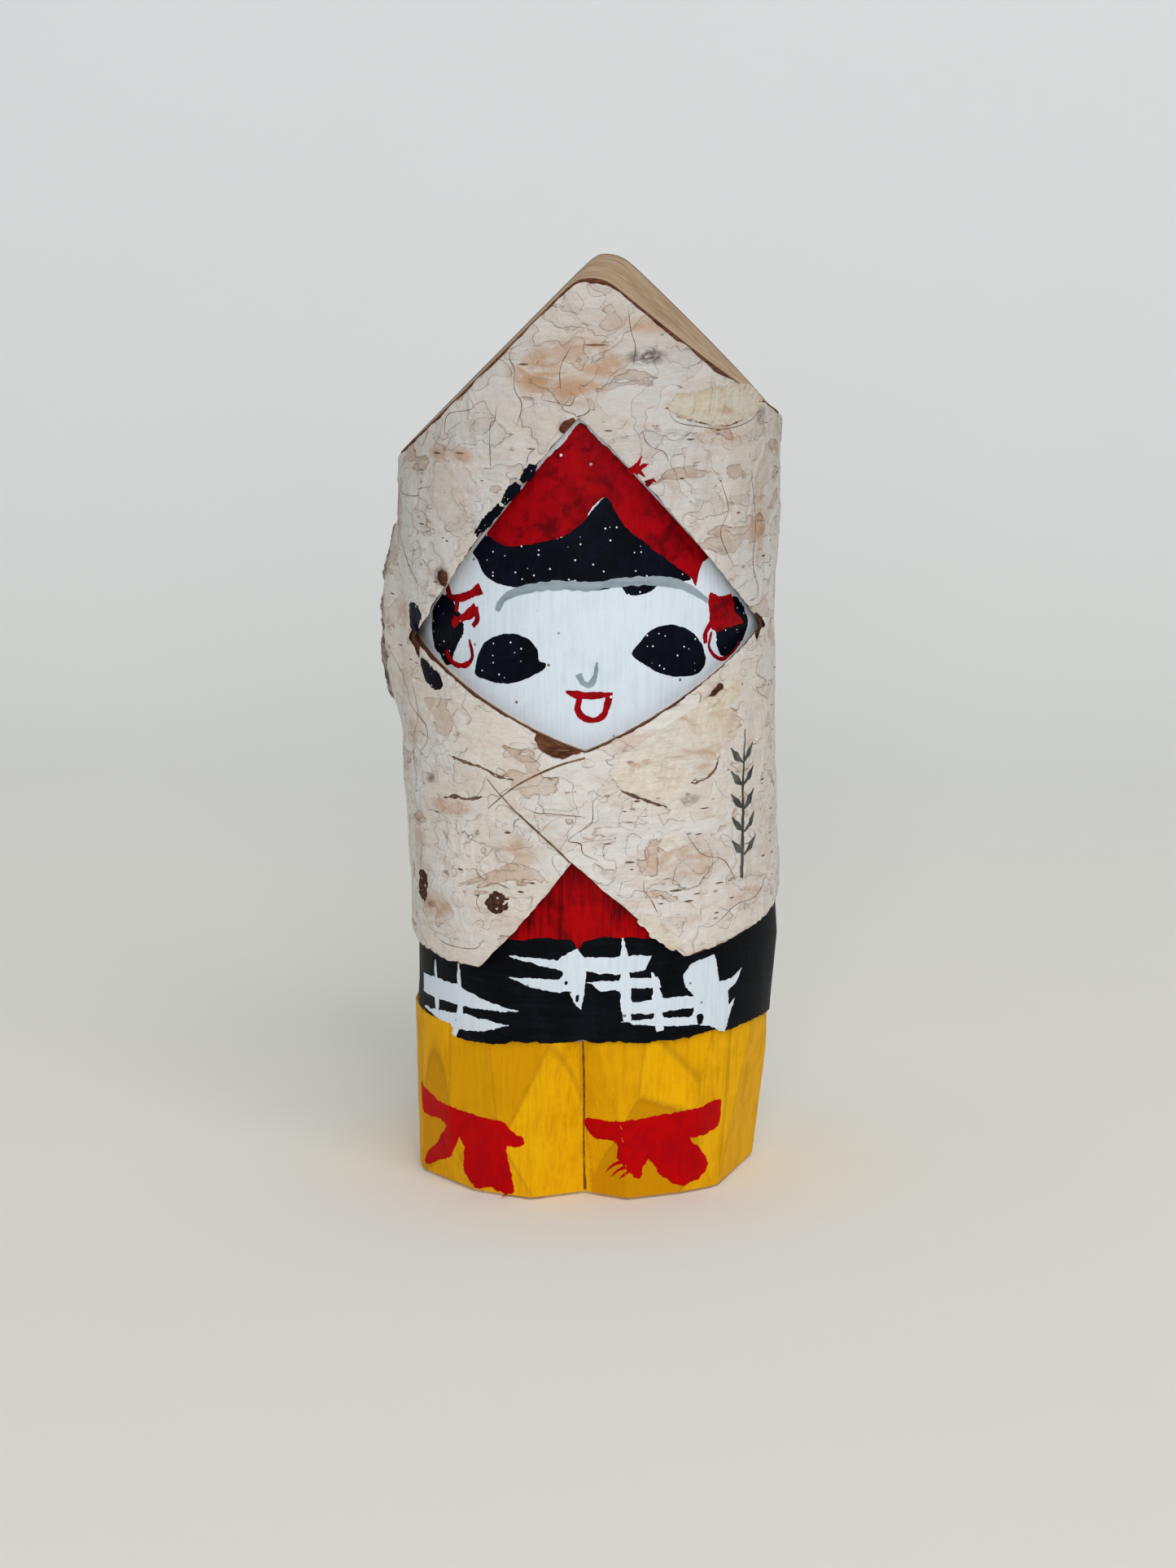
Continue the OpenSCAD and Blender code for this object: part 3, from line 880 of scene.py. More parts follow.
class Palette:
    """Every finish of the doll, made once."""

    def __init__(self) -> None:
        """Builds the materials."""
        self.bark = BirchBark().make()
        self.flake = BirchBark(
            name="birch_paper", cream=(228, 217, 200), grey_white=(224, 219, 210),
            blush=(206, 184, 162), hood_grey_and_shade=(236, 232, 224), peel_lines=False,
        ).make()
        self.inner = Fibrous("inner_bark_fibre", (62, 32, 22), (124, 74, 48), (176, 132, 96)).make()
        self.rough = Fibrous(
            "rough_bark", (96, 82, 70), (170, 158, 144), (206, 198, 188),
            strand=(5, 5, 3), dusting=0.8, depth=0.6,
        ).make()
        self.knot = Fibrous(
            "knot_cork", (46, 26, 18), (98, 64, 46), (120, 92, 72), strand=(1.1, 1.1, 0.7), depth=0.35
        ).make()
        self.crack = Fibrous(
            "crack_brown", (78, 58, 46), (136, 106, 84), (170, 144, 120), strand=(2.5, 2.5, 1.5)
        ).make()
        self.wood = CutWood().make()
        self.white = Paint(
            "chalk_white", (219, 229, 239), (198, 211, 223), Stroke.UPRIGHT, 0.5, gloss=0.5,
            speck=(120, 112, 100), specks=0.10, speck_size=2.2, grain=0.14,
        ).make()
        self.black = Paint(
            "ink_black", (5, 7, 16), (12, 20, 38), Stroke.DAUBED, 0.6, specks=0.34, speck_size=1.2, gloss=0.35
        ).make()
        self.skirt = Paint(
            "skirt_black", (4, 7, 12), (20, 28, 36), Stroke.ROUND, 0.5, gloss=0.42, grain=0.12
        ).make()
        self.red = Paint(
            "crimson", (160, 0, 12), (84, 0, 8), Stroke.DAUBED, 0.85, specks=0.06, speck_size=2.0, gloss=0.35
        ).make()
        self.coat = Paint("coat_crimson", (172, 0, 6), (62, 0, 4), Stroke.UPRIGHT, 0.85, gloss=0.35).make()
        self.bow = Paint("bow_crimson", (190, 0, 4), (154, 0, 12), Stroke.DAUBED, 0.6, gloss=0.45).make()
        self.grey = Paint("brush_grey", (152, 164, 174), (112, 126, 138)).make()
        self.yellow = Paint(
            "boot_yellow", (244, 182, 6), (204, 140, 0), Stroke.UPRIGHT, 0.6, gloss=0.5,
            worn=(166, 116, 14), wear=0.22, grain=0.16, faceted=True,
        ).make()
        # Dark ochre for the painted shadow along the groove between the boots.
        self.groove = Fibrous(
            "groove_shadow_ochre", (104, 66, 10), (150, 102, 12), (206, 146, 20), strand=(2, 2, 2)
        ).make()
        self.ink = Paint("sprig_ink", (62, 64, 66), (112, 108, 102), Stroke.DAUBED, 0.8, gloss=0.5).make()


# ---------------------------------------------------------------- sizes of the log


@dataclass(frozen=True)
class RoofCut:
    """The two roof cuts and the blunt ridge between them."""

    top: float
    middle: float = 2.0
    width: float = 5.5
    left_slope: float = 45.0
    right_slope: float = 40.0
    softness: float = 0.9
    log_r: float = 40.0
    right_fall: float = 0.09

    def height(self, x: np.ndarray, y: Optional[np.ndarray] = None) -> np.ndarray:
        """Height of the cut at a place; the right one falls away to the back.

        Args:
            x: Sideways places.
            y: Places towards the back, or none for the near edge.

        Returns:
            The heights.
        """
        left = (self.middle - self.width / 2 - x) * math.tan(math.radians(self.left_slope))
        right = (x - self.middle - self.width / 2) * math.tan(math.radians(self.right_slope))
        blunt = self.softness * np.log(1 + np.exp(left / self.softness) + np.exp(right / self.softness))
        height = self.top + self.softness * 0.09 - blunt
        if y is None:
            return height
        half = np.sqrt(np.maximum(self.log_r**2 - np.minimum(np.abs(x), self.log_r - 1) ** 2, 1))
        return height - self.right_fall * np.maximum(0, x) * np.clip((y + half) / (2 * half), 0, 1)


@dataclass(frozen=True)
class HemCut:
    """The tilted cut along the bark's lower edge."""

    middle: float
    back_rise: float = math.tan(math.radians(6.5))
    side_rise: float = math.tan(math.radians(3.7))
    right_lift: float = 2.2

    def height(self, turn: np.ndarray, radius: float) -> np.ndarray:
        """Height of the hem at a direction."""
        plane = self.middle + radius * (self.side_rise * np.sin(turn) - self.back_rise * np.cos(turn))
        return plane + self.right_lift * np.maximum(0, np.sin(turn)) ** 4


@dataclass(frozen=True)
class LogSizes:
    """Main sizes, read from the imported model, in millimetres."""

    bark_r: float
    wood_r: float
    boots_h: float
    coat_top: Point
    roof: RoofCut
    hem: HemCut
    bottom: Point
    right: Point
    top: Point
    left: Point
    left_lean: float = math.tan(math.radians(37))
    right_lean: float = math.tan(math.radians(48))
    edge_bow: float = 1.7
    paint_gap: float = 0.8

    @classmethod
    def measured(cls) -> "LogSizes":
        """Reads the sizes from the CAD nodes' boxes."""
        bark_low, bark_high = (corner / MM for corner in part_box("outer_bark"))
        wood_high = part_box("carved_log")[1] / MM
        face_low, face_high = (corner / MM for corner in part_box("face_white"))
        gap = cls.paint_gap
        slope = math.hypot(HemCut.back_rise, HemCut.side_rise)
        return cls(
            bark_r=bark_high.x,
            wood_r=wood_high.x,
            boots_h=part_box("boots_yellow")[1].z / MM,
            coat_top=(-1.8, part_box("coat_red")[1].z / MM),
            roof=RoofCut(wood_high.z),
            hem=HemCut(bark_low.z + slope * bark_high.x),
            bottom=(0.8, face_low.z - gap),
            right=(face_high.x + gap, face_low.z + 22.0),
            top=(-0.2, face_high.z + gap),
            left=(face_low.x - gap, face_low.z + 19.0),
        )

    def round_log(self, flat: np.ndarray, radius: Optional[float] = None) -> np.ndarray:
        """A front drawing of X and Z as distance round the log at a radius, and height."""
        radius = radius or self.bark_r
        share = np.clip(flat[:, 0] / radius, -0.993, 0.993)
        return np.column_stack([np.arcsin(share) * radius, flat[:, 1]])

    def face_hole(self, radius: Optional[float] = None) -> np.ndarray:
        """The face opening's outline round the log at a radius."""
        corners = [np.array(c) for c in (self.bottom, self.right, self.top, self.left)]
        parts = []
        for start, end in zip(corners, corners[1:] + corners[:1]):
            way = end - start
            side = np.array([way[1], -way[0]]) / np.linalg.norm(way)
            t = np.linspace(0, 1, 24, endpoint=False)[:, None]
            parts.append(start + way * t + side * self.edge_bow * 4 * t * (1 - t))
        return self.round_log(np.vstack(parts), radius)

    def coat_edges(self) -> tuple[np.ndarray, np.ndarray]:
        """Both edges of the coat opening, from its top corner down to the hem."""
        down = np.linspace(0, 30, 61)
        edges = []
        for lean in (-self.left_lean, self.right_lean):
            flare = math.copysign(0.0036, lean) * down**2 * (lean < 0)
            flat = np.column_stack([self.coat_top[0] + lean * down + flare, self.coat_top[1] - down])
            edge = self.round_log(flat)
            above = edge[:, 1] > self.hem.height(edge[:, 0] / self.bark_r, self.bark_r)
            edges.append(edge[above])
        return edges[0], edges[1]


# ---------------------------------------------------------------- bark


@dataclass(frozen=True)
class BarkRelief:
    """How the bark stands in and out: a waist, lumps, and peeled layers."""

    patch: float = 19.0
    layers: float = 2.6
    layer_step: float = 0.16
    lump: float = 0.30
    wrinkle: float = 0.10
    left_heights: tuple[float, ...] = (50, 58, 75, 91, 110, 137)
    left_waist: tuple[float, ...] = (-2.0, -1.9, -1.2, -0.3, 0.0, 0.2)
    right_heights: tuple[float, ...] = (50, 56, 75, 93, 117, 140, 158)
    right_waist: tuple[float, ...] = (0.0, -0.1, -0.8, -1.6, -1.6, -0.9, -0.3)

    def waist(self, turn: np.ndarray, z: np.ndarray) -> np.ndarray:
        """How far the log's own side lies out of true."""
        left = np.maximum(0, -np.sin(turn)) ** 3 * np.interp(z, self.left_heights, self.left_waist)
        right = np.maximum(0, np.sin(turn)) ** 3 * np.interp(z, self.right_heights, self.right_waist)
        return left + right

    def layer(self, x: float, y: float, z: float) -> float:
        """Which papery layer is outermost at a place; whole numbers are peel edges."""
        wide = noise.fractal(Vector((x, y, z * 1.15)) / self.patch, 0.9, 2.1, 4)
        return 10 + self.layers * wide

    def height(self, x: float, y: float, z: float, layer: float) -> float:
        """Height of the relief at a place on the bark."""
        whole = math.floor(layer)
        rest = min(1.0, max(0.0, (layer - whole - 0.84) / 0.13))
        step = (whole - 10 + rest * rest * (3 - 2 * rest)) * self.layer_step
        lump = noise.fractal(Vector((x, y, z)) / 24 + Vector((5, 0, 3)), 0.9, 2.0, 3) * self.lump
        fold = noise.fractal(Vector((x / 7, y / 7, z / 1.7)), 0.7, 2.2, 3) * self.wrinkle
        return float(np.clip(step + lump + fold, -0.42, 0.75))


@dataclass(frozen=True)
class Swelling:
    """The branch swelling on the -X side, as the CAD has it under the bark."""

    middle_z: float
    half_z: float
    direction: float = math.radians(-106)
    reach: float = 24.0
    rise: float = 5.0
    offset: float = 21.0

    def radius(self, turn: np.ndarray, z: np.ndarray) -> np.ndarray:
        """Radius of the swelling, small where the plain log covers it."""
        side_r = (self.half_z**2 + self.rise**2) / (2 * self.rise)
        height = np.clip(z - self.middle_z, -self.half_z * 1.15, self.half_z * 1.15)
        ring_r = self.reach - side_r + np.sqrt(side_r**2 - height**2)
        away = turn - self.direction
        inside = np.maximum(ring_r**2 - (self.offset * np.sin(away)) ** 2, 0)
        return np.where(np.cos(away) > 0, self.offset * np.cos(away) + np.sqrt(inside), 0)


class Skin:
    """Finds the true radius of a finished surface, to lay thin pieces on it."""

    def __init__(self, piece: bpy.types.Object) -> None:
        """Keeps the surface's shape."""
        mesh = piece.data
        self.tree = BVHTree.FromPolygons([v.co for v in mesh.vertices], [p.vertices for p in mesh.polygons])

    def radius(self, lift: float, fallback: float) -> Radius:
        """The surface's radius plus a lift, from turn and height."""

        def found(turn: np.ndarray, z: np.ndarray) -> np.ndarray:
            """Looks inwards at the log from every direction."""
            result = []
            for angle, height in zip(turn, z):
                way = Vector((math.sin(angle), -math.cos(angle), 0))
                start = way * RAY_FROM + Vector((0, 0, height * MM))
                hit = self.tree.ray_cast(start, -way, RAY_LENGTH)[0]
                result.append(fallback if hit is None else hit.xy.length / MM)
            return np.array(result) + lift

        return found


@dataclass
class BarkMarks:
    """Places where the bark is stained, pale or scorched.

    Each is given by its distance round, its height, both half sizes and its strength.
    """

    stains: Sequence[tuple] = (
        (-8, 171, 7, 5, 1.0), (-1, 168, 6, 3, 1.0), (4, 173, 7, 3, 0.8), (-1, 176, 8, 3, 0.6),
        (34, 97, 3, 4, 0.5), (22, 72, 12, 5, 0.55), (-37, 60, 7, 3, 0.8), (-30, 82, 7, 2, 0.7),
        (-51, 120, 4, 4, 0.7), (-47, 95, 4, 3, 0.6), (-56, 140, 5, 6, 0.6), (40, 62, 6, 3, 0.5),
        (12, 97, 7, 3, 0.5), (28, 118, 4, 8, 0.4), (44, 140, 4, 10, 0.5), (-14, 74, 7, 3, 0.5),
        (-44, 72, 4, 7, 0.6), (15, 181, 9, 2, 0.6), (31, 158, 10, 2, 0.7), (-33, 154, 4, 2, 0.7),
        (-26, 154, 3, 2, 0.7), (90, 80, 14, 4, 0.6), (110, 130, 10, 6, 0.6), (-110, 85, 12, 4, 0.6),
        (75, 110, 6, 12, 0.5), (-120, 150, 9, 5, 0.6),
    )
    pale: Sequence[tuple] = (
        (24, 97, 16, 9, 0.8), (32, 164.5, 10, 4, 0.9), (-30, 72, 12, 8, 0.4), (20, 56, 9, 4, 0.6),
        (-20, 150, 8, 8, 0.3), (26, 138, 10, 12, 0.4), (100, 105, 14, 10, 0.5), (-100, 165, 12, 10, 0.4),
        (120, 70, 12, 6, 0.5),
    )
    scorched: Sequence[tuple] = (
        (-2, 160.5, 2.4, 1.6, 1.0), (-32.5, 129, 2.6, 2.2, 0.8), (-37, 87, 1.8, 1.4, 0.7),
        (44, 161, 2.2, 2.2, 0.6), (13.5, 174.5, 4.5, 1.6, 0.9), (23.5, 84.5, 2.6, 0.9, 0.5),
        (-38.5, 60, 2.0, 0.9, 0.5),
    )

    def strength(self, spots: Sequence[tuple], round_z: np.ndarray) -> np.ndarray:
        """How strongly some marks show at each point."""
        total = np.zeros(len(round_z))
        for s, z, half_s, half_z, most in spots:
            off = ((round_z[:, 0] - s) / half_s) ** 2 + ((round_z[:, 1] - z) / half_z) ** 2
            total = np.maximum(total, most * np.clip(1.25 - off, 0, 1))
        return total


@dataclass
class BarkDrawing:
    """Lines and patches drawn on the bark by wear and by the knife."""

    gaps: Sequence[Path] = (
        ((-8.7, 99.5), (-8.7, 95.8), (-4.5, 93.8), (0, 95.2), (1.8, 96.5), (-1, 99)),
        ((-3.6, 161.5), (-1.6, 162.6), (-0.6, 161), (-2.6, 159.2), (-4.2, 159.8)),
        ((-33.5, 129.8), (-31, 130), (-30.8, 127), (-33, 127.4)),
        ((26.5, 104.2), (31.5, 107.6), (32, 105.6), (28.6, 103.2)),
        ((43.5, 120.5), (47, 119.4), (50.4, 117.0), (47, 116.6), (44.5, 114.5)),
        ((-41.5, 118.2), (-44.6, 116.6), (-47.2, 114.4), (-44.5, 113.4), (-41.5, 111)),
    )
    cuts: Sequence[Path] = (
        ((0.9, 94.1), (-3.8, 92.7), (-8.5, 90.6), (-12.8, 88.2), (-16.4, 85.6), (-19.9, 82.6)),
        ((-1.9, 72.3), (-4.2, 74.6), (-8, 77.9), (-13.7, 82.6), (-17.1, 85.8), (-20, 88.7)),
    )
    cracks: Sequence[Path] = (
        ((-12, 177), (-14, 176), (-14.5, 174), (-13.5, 172), (-13.5, 168), (-12, 165), (-13, 160.5)),
        ((-7.5, 166), (-4.5, 165.5), (-2, 165), (-1, 167)),
        ((-4, 168), (-4, 172.5), (-2, 176.5)),
        ((-23.5, 165.5), (-23.5, 163.5), (-30, 162), (-31, 157.5)),
        ((-17.5, 164.5), (-18, 161.5), (-19, 160.5), (-19, 152)),
        ((9.5, 184), (10, 180), (11, 176.5), (10.5, 173)),
        ((-11, 153), (-10.5, 155), (-9, 156.5)),
        ((12.5, 160), (13, 158), (14.5, 156.5), (17, 155.5), (18, 153.5)),
        ((-58.5, 144.5), (-50, 144), (-41.5, 144.5), (-40.5, 146), (-35.5, 147)),
        ((-56, 144.5), (-59, 138.5), (-51.5, 134), (-47, 130.5), (-41.5, 127), (-41, 125)),
        ((-59, 110), (-49.5, 103), (-46.5, 100.5), (-39.5, 97.5), (-38.5, 94.5), (-41.5, 91.5)),
        ((4, 86.5), (2.5, 85), (2.5, 82.5), (2, 80.5), (-1, 78.5), (-2.5, 77), (0, 76.5), (0.5, 74.5),
         (3.5, 73)),
        ((-12, 83.5), (-9, 82.5), (-6.5, 82.5), (1, 82)),
        ((-35.5, 53), (-30.5, 52.5), (-23.5, 53), (-21.5, 55)),
        ((13, 68.5), (13, 66.5), (14.5, 64.5), (16, 61.5)),
        ((17.5, 164.5), (19.5, 161.5), (25, 160.2), (31.5, 159.3), (39, 160.2), (43, 162)),
        ((-21.5, 66), (-18.5, 67.3), (-15, 66.4)),
        ((-22, 61), (-23, 63), (-22, 65)),
        ((40, 150), (43, 140), (42, 131), (45, 124)),
        ((30, 150), (33, 143), (31, 138), (35, 131)),
        ((-45, 106), (-43, 99), (-46, 92), (-44, 84)),
        ((8, 100.5), (14, 103), (20, 104), (25, 107)),
        ((30, 58), (36, 61), (43, 61.5), (50, 65)),
        ((22, 78), (26, 73), (32, 71), (36, 66)),
    )
    bold: Sequence[Path] = (
        ((-30.5, 92.5), (-24.5, 91.5), (-21.5, 91), (-17.5, 89.5), (-14, 89)),
        ((-31.5, 83.5), (-28, 84.2), (-25.5, 84), (-20.5, 85)),
        ((20, 163.2), (26, 161), (32, 160.2), (38, 161)),
        ((21, 90), (25, 88), (29.5, 89.6), (31, 92.6)),
        ((8, 87.4), (13, 85.2), (18, 83.4)),
    )
    dashes: Sequence[tuple] = (
        (-11.5, 173, 2.2), (3, 177, 5.0), (-15.5, 78, 1.6), (-12.5, 66, 1.6), (-10, 68, 1.4),
        (-33.5, 154, 2.6), (-26.5, 154.5, 2.4), (9.5, 89, 1.8), (11.5, 85, 1.6), (10, 72.5, 2.4),
        (20, 66, 3.2), (23, 63.5, 2.6), (-31.5, 83.5, 1.4), (-27.5, 69, 1.8), (26, 128, 1.6),
        (21, 150, 1.2), (36, 142, 1.4), (47, 132, 1.8),
    )
    flakes: Sequence[Path] = (
        ((17.5, 164.5), (19.5, 167), (25.5, 167.5), (34, 168.5), (39.5, 167.5), (44, 164), (41.5, 162),
         (37, 160.8), (31.5, 160), (25, 160.8), (21, 162)),
        ((12, 97), (16, 99.6), (21.5, 101.6), (27.5, 104.8), (35, 107.6), (38.6, 106.4), (37, 104.2),
         (34, 103.4), (34.6, 100.5), (36.5, 98.8), (36.6, 96), (33, 95.3), (30, 93.2), (29.3, 90),
         (25.5, 89), (22, 87.5), (20.6, 85.2), (17.6, 84), (13.6, 85.6), (8.4, 87.6), (5.6, 91), (8, 94.5)),
        ((17, 78), (20.5, 78.5), (22.5, 75.5), (18, 74), (15.6, 75.6)),
        ((23, 82), (29, 82), (29.6, 80.4), (24, 80.2)),
        ((12, 62), (15.5, 61), (19.5, 57), (22, 54.4), (19, 53.6), (15, 56.6), (11.6, 60)),
    )


class Bark:
    """Everything that grew or is drawn on the bark."""

    def __init__(self, log: LogSizes, palette: Palette) -> None:
        """Keeps the sizes and finishes.

        Args:
            log: The log's sizes.
            palette: The finishes.
        """
        self.log = log
        self.palette = palette
        self.relief = BarkRelief()
        self.marks = BarkMarks()
        self.drawing = BarkDrawing()
        self.half_turn = math.pi * log.bark_r
        self.skin: Optional[Skin] = None
        low, high = (corner.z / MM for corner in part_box("swelling_bark"))
        self.swelling = Swelling((low + high) / 2, (high - low) / 2)

    def outline(self, hem_rough: float, edge_rough: float, inset: float = 0.0) -> np.ndarray:
        """The bark's outer outline, from seam to seam.

        Args:
            hem_rough: How ragged the hem is.
            edge_rough: How ragged the coat opening's edges are.
            inset: How far the sheet stays back from the CAD's edges.

        Returns:
            The closed outline.
        """
        log, half, step = self.log, self.half_turn, 0.62
        left, right = log.coat_edges()
        hem_left, hem_right = (
            np.column_stack([s, log.hem.height(s / log.bark_r, log.bark_r)])
            for s in (np.linspace(-half, left[-1, 0], 200), np.linspace(right[-1, 0], half, 200))
        )
        turn_top = np.linspace(half, -half, 400)
        top = np.column_stack([turn_top, log.roof.height(log.bark_r * np.sin(turn_top / log.bark_r))])
        back_low, back_high = hem_right[-1, 1] + inset, top[0, 1]
        seam = np.linspace(back_low, back_high, int((back_high - back_low) / step) + 1)[1:-1]
        parts = []
        paths = (hem_left, left[::-1], right, hem_right)
        roughs = (hem_rough, edge_rough, edge_rough, hem_rough)
        for seed, (path, rough) in enumerate(zip(paths, roughs), start=1):
            path = even(path, step, closed=False)
            path = path + np.array([0, inset])
            fade = np.clip(np.minimum(np.arange(len(path)), np.arange(len(path))[::-1]) / 6, 0, 1)[:, None]
            rough_path = ragged(path, rough, 7, seed * 3.1, False)
            rough_path = ragged(rough_path, rough * 0.5, 1.4, seed * 5.3, False)
            parts.append(path + (rough_path - path) * fade)
            parts[-1] = parts[-1][:-1] if seed != 4 else parts[-1]
        parts.append(np.column_stack([np.full(len(seam), half), seam]))
        parts.append(even(top, step, closed=False))
        parts.append(np.column_stack([np.full(len(seam), -half), seam[::-1]]))
        return np.vstack(parts)

    def build_inner(self) -> bpy.types.Object:
        """The brown inner bark, seen along every cut edge."""
        log = self.log
        panel = Panel([self.outline(0.12, 0.08)], [even(log.face_hole(), 0.8)], step=1.7, seed=2)
        shares = (log.bark_r / 39.25, log.bark_r / (log.wood_r + 0.02))

        def outer(turn: np.ndarray, z: np.ndarray) -> np.ndarray:
            """The inner bark's outer face."""
            r = log.bark_r - 0.75 + self.relief.waist(turn, z)
            strands = [
                noise.fractal(Vector((a * 9, h / 2.2, 4.0)), 0.8, 2.0, 3) * 0.12 if abs(a) < 3.1 else 0.0
                for a, h in zip(turn, z)
            ]
            return np.maximum(r + np.array(strands), log.wood_r + 0.2)

        piece = panel.wrap(
            "inner_bark_sheet", log.bark_r, outer, level(log.wood_r + 0.02),
            seam=self.half_turn, shares=shares, roof=log.roof,
        )
        return dress(piece, self.palette.inner, "inner_bark", ("inner_bark",), crease=35)

    def build_outer(self) -> bpy.types.Object:
        """The papery outer bark as one sheet round the log."""
        log = self.log
        hole = even(log.face_hole(), 0.6)
        hole = hole + sideways(hole, True) * 0.12
        hole = ragged(ragged(hole, 0.28, 5.0, 3.3), 0.16, 1.1, 9.1)
        gaps = [ragged(even(smooth(g), 0.5), 0.35, 1.2, i + 4.0) for i, g in enumerate(self.drawing.gaps)]
        panel = Panel([self.outline(0.6, 0.28, inset=0.3)], [hole, *gaps], step=0.8, seed=3)

        def outer(turn: np.ndarray, z: np.ndarray) -> np.ndarray:
            """The bark's outer face."""
            r = log.bark_r + self.relief.waist(turn, z)
            heights = []
            for angle, height in zip(turn, z):
                x, y = log.bark_r * math.sin(angle), -log.bark_r * math.cos(angle)
                heights.append(self.relief.height(x, y, height, self.relief.layer(x, y, height)))
            r = np.maximum(r + np.array(heights), log.wood_r + 0.9)
            bulge = self.swelling.radius(turn, z) + 0.5 * np.array(heights)
            return np.maximum(r, bulge) + 0.35 * np.exp(-np.abs(r - bulge) / 0.5)

        def inner(turn: np.ndarray, z: np.ndarray) -> np.ndarray:
            """The bark's inner face."""
            return np.maximum(log.bark_r - 0.95 + self.relief.waist(turn, z), log.wood_r + 0.3)

        piece = panel.wrap(
            "bark_sheet", log.bark_r, outer, inner, coarse=2.6, rim_drop=0.12,
            shares=(1.0, log.bark_r / (log.bark_r - 0.95)), roof=log.roof, roof_gap=0.55, seam=self.half_turn,
        )
        self._write_marks(piece)
        self.skin = Skin(piece)
        return dress(piece, self.palette.bark, "outer_bark", ("outer_bark",), crease=60)

    def _write_marks(self, piece: bpy.types.Object) -> None:
        """Stores stains, pale and scorched places and the layer count on the sheet."""
        turn, height = places(piece)
        flat = np.column_stack([turn * self.log.bark_r, height])
        around = np.column_stack([np.sin(turn), -np.cos(turn)]) * self.log.bark_r
        layers = [self.relief.layer(x, y, z) for (x, y), z in zip(around, height)]
        kinds = (self.marks.stains, self.marks.pale, self.marks.scorched)
        store(piece, "marks", np.column_stack([self.marks.strength(kind, flat) for kind in kinds]))
        store(piece, "layer", np.array(layers))

    def build_flakes(self) -> bpy.types.Object:
        """Raised papery patches that have come loose at their edges."""
        log = self.log
        dice = random.Random(11)
        loops = [ragged(even(np.array(f), 0.6), 0.5, 1.6, i * 1.7) for i, f in enumerate(self.drawing.flakes)]
        for i in range(12):
            s = dice.choice((-1, 1)) * dice.uniform(55, 124)
            z = dice.uniform(70, 145)
            wide, tall = dice.uniform(5, 11), dice.uniform(2.0, 6.0)
            on_swelling = -95 < s < -55 and 85 < z < 142
            if on_swelling:
                continue
            ring = [
                (s + wide * math.cos(a) * (1 + 0.25 * math.sin(3 * a + i)), z + tall * math.sin(a))
                for a in np.linspace(0, 2 * math.pi, 12, endpoint=False)
            ]
            loops.append(ragged(ragged(even(np.array(ring), 0.6), 1.6, 3.2, 30 + i), 0.5, 1.0, 50 + i))
        panel = Panel(loops, step=0.9, seed=4)
        base = self.skin.radius(0.10, log.bark_r)

        def outer(turn: np.ndarray, z: np.ndarray) -> np.ndarray:
            """The flakes' outer face, rising unevenly from the bark."""
            lift = [
                0.08 + 0.16 * max(0.0, noise.fractal(Vector((a * 12, h / 4, 2.0)), 0.8, 2, 3) + 0.4)
                for a, h in zip(turn, z)
            ]
            return base(turn, z) + np.array(lift)

        piece = panel.wrap("bark_flakes", log.bark_r, outer, self.skin.radius(-0.12, log.bark_r - 0.2))
        return dress(piece, self.palette.flake, "outer_bark", crease=40)

    def build_cracks(self) -> bpy.types.Object:
        """Knife cuts, wandering cracks and the dark dashes of the bark."""
        log = self.log
        dice = random.Random(23)
        loops = [brush_line(c, (0.4, 0.45, 0.3, 0.15), seed=i) for i, c in enumerate(self.drawing.cuts)]
        fine, bold = (0.04, 0.16, 0.08, 0.2, 0.04), (0.1, 0.8, 0.4, 0.7, 0.1)
        loops += [brush_line(c, fine, seed=10 + i) for i, c in enumerate(self.drawing.cracks)]
        for i, crack in enumerate(self.drawing.bold):
            loops.append(ragged(brush_line(crack, bold, seed=50 + i), 0.25, 0.8, i))
        for i in range(18):
            s = dice.choice((-1, 1)) * dice.uniform(60, 122)
            z = dice.uniform(64, 146)
            points = [(s, z)]
            heading = dice.uniform(-0.6, 0.6) + (math.pi / 2 if dice.random() < 0.6 else 0)
            for _ in range(dice.randint(3, 6)):
                heading += dice.uniform(-0.7, 0.7)
                s, z = points[-1]
                points.append((s + 3.2 * math.cos(heading), z + 3.2 * math.sin(heading)))
            limit = log.roof.height(np.array([log.bark_r * math.sin(p[0] / log.bark_r) for p in points]))
            on_bark = all(61 < p[1] < top - 2 and abs(p[0]) < 124 for p, top in zip(points, limit))
            if on_bark:
                loops.append(brush_line(points, (0.04, 0.18, 0.1, 0.16, 0.04), seed=80 + i))
        loops += [self._dash(s, z, length, 0.45) for s, z, length in self.drawing.dashes]
        for _ in range(150):
            s = dice.uniform(-123, 123)
            z = dice.uniform(58, 165)
            if z < float(log.roof.height(np.array([log.bark_r * math.sin(s / log.bark_r)]))[0]) - 2:
                loops.append(self._dash(s, z, dice.uniform(0.7, 2.6), dice.uniform(0.18, 0.36)))
        hole = log.face_hole()
        panel_loops = [loop for loop in loops if not covered(loop, hole).any()]
        panel = Panel(panel_loops, step=1.2, seed=5)
        outer = self.skin.radius(0.035, log.bark_r)
        piece = panel.wrap("bark_cracks", log.bark_r, outer, self.skin.radius(-0.2, log.bark_r - 0.2))
        return dress(piece, self.palette.crack, "inner_bark", crease=60)

    @staticmethod
    def _dash(s: float, z: float, length: float, width: float) -> np.ndarray:
        """One short dash, pointed at both ends."""
        shares = np.linspace(-1, 1, 6)
        upper = [(s + length / 2 * t, z + width / 2 * (1 - t * t)) for t in shares]
        lower = [(s + length / 2 * t, z - width / 2 * (1 - t * t)) for t in shares[-2:0:-1]]
        return np.array(upper[::-1] + lower[::-1])

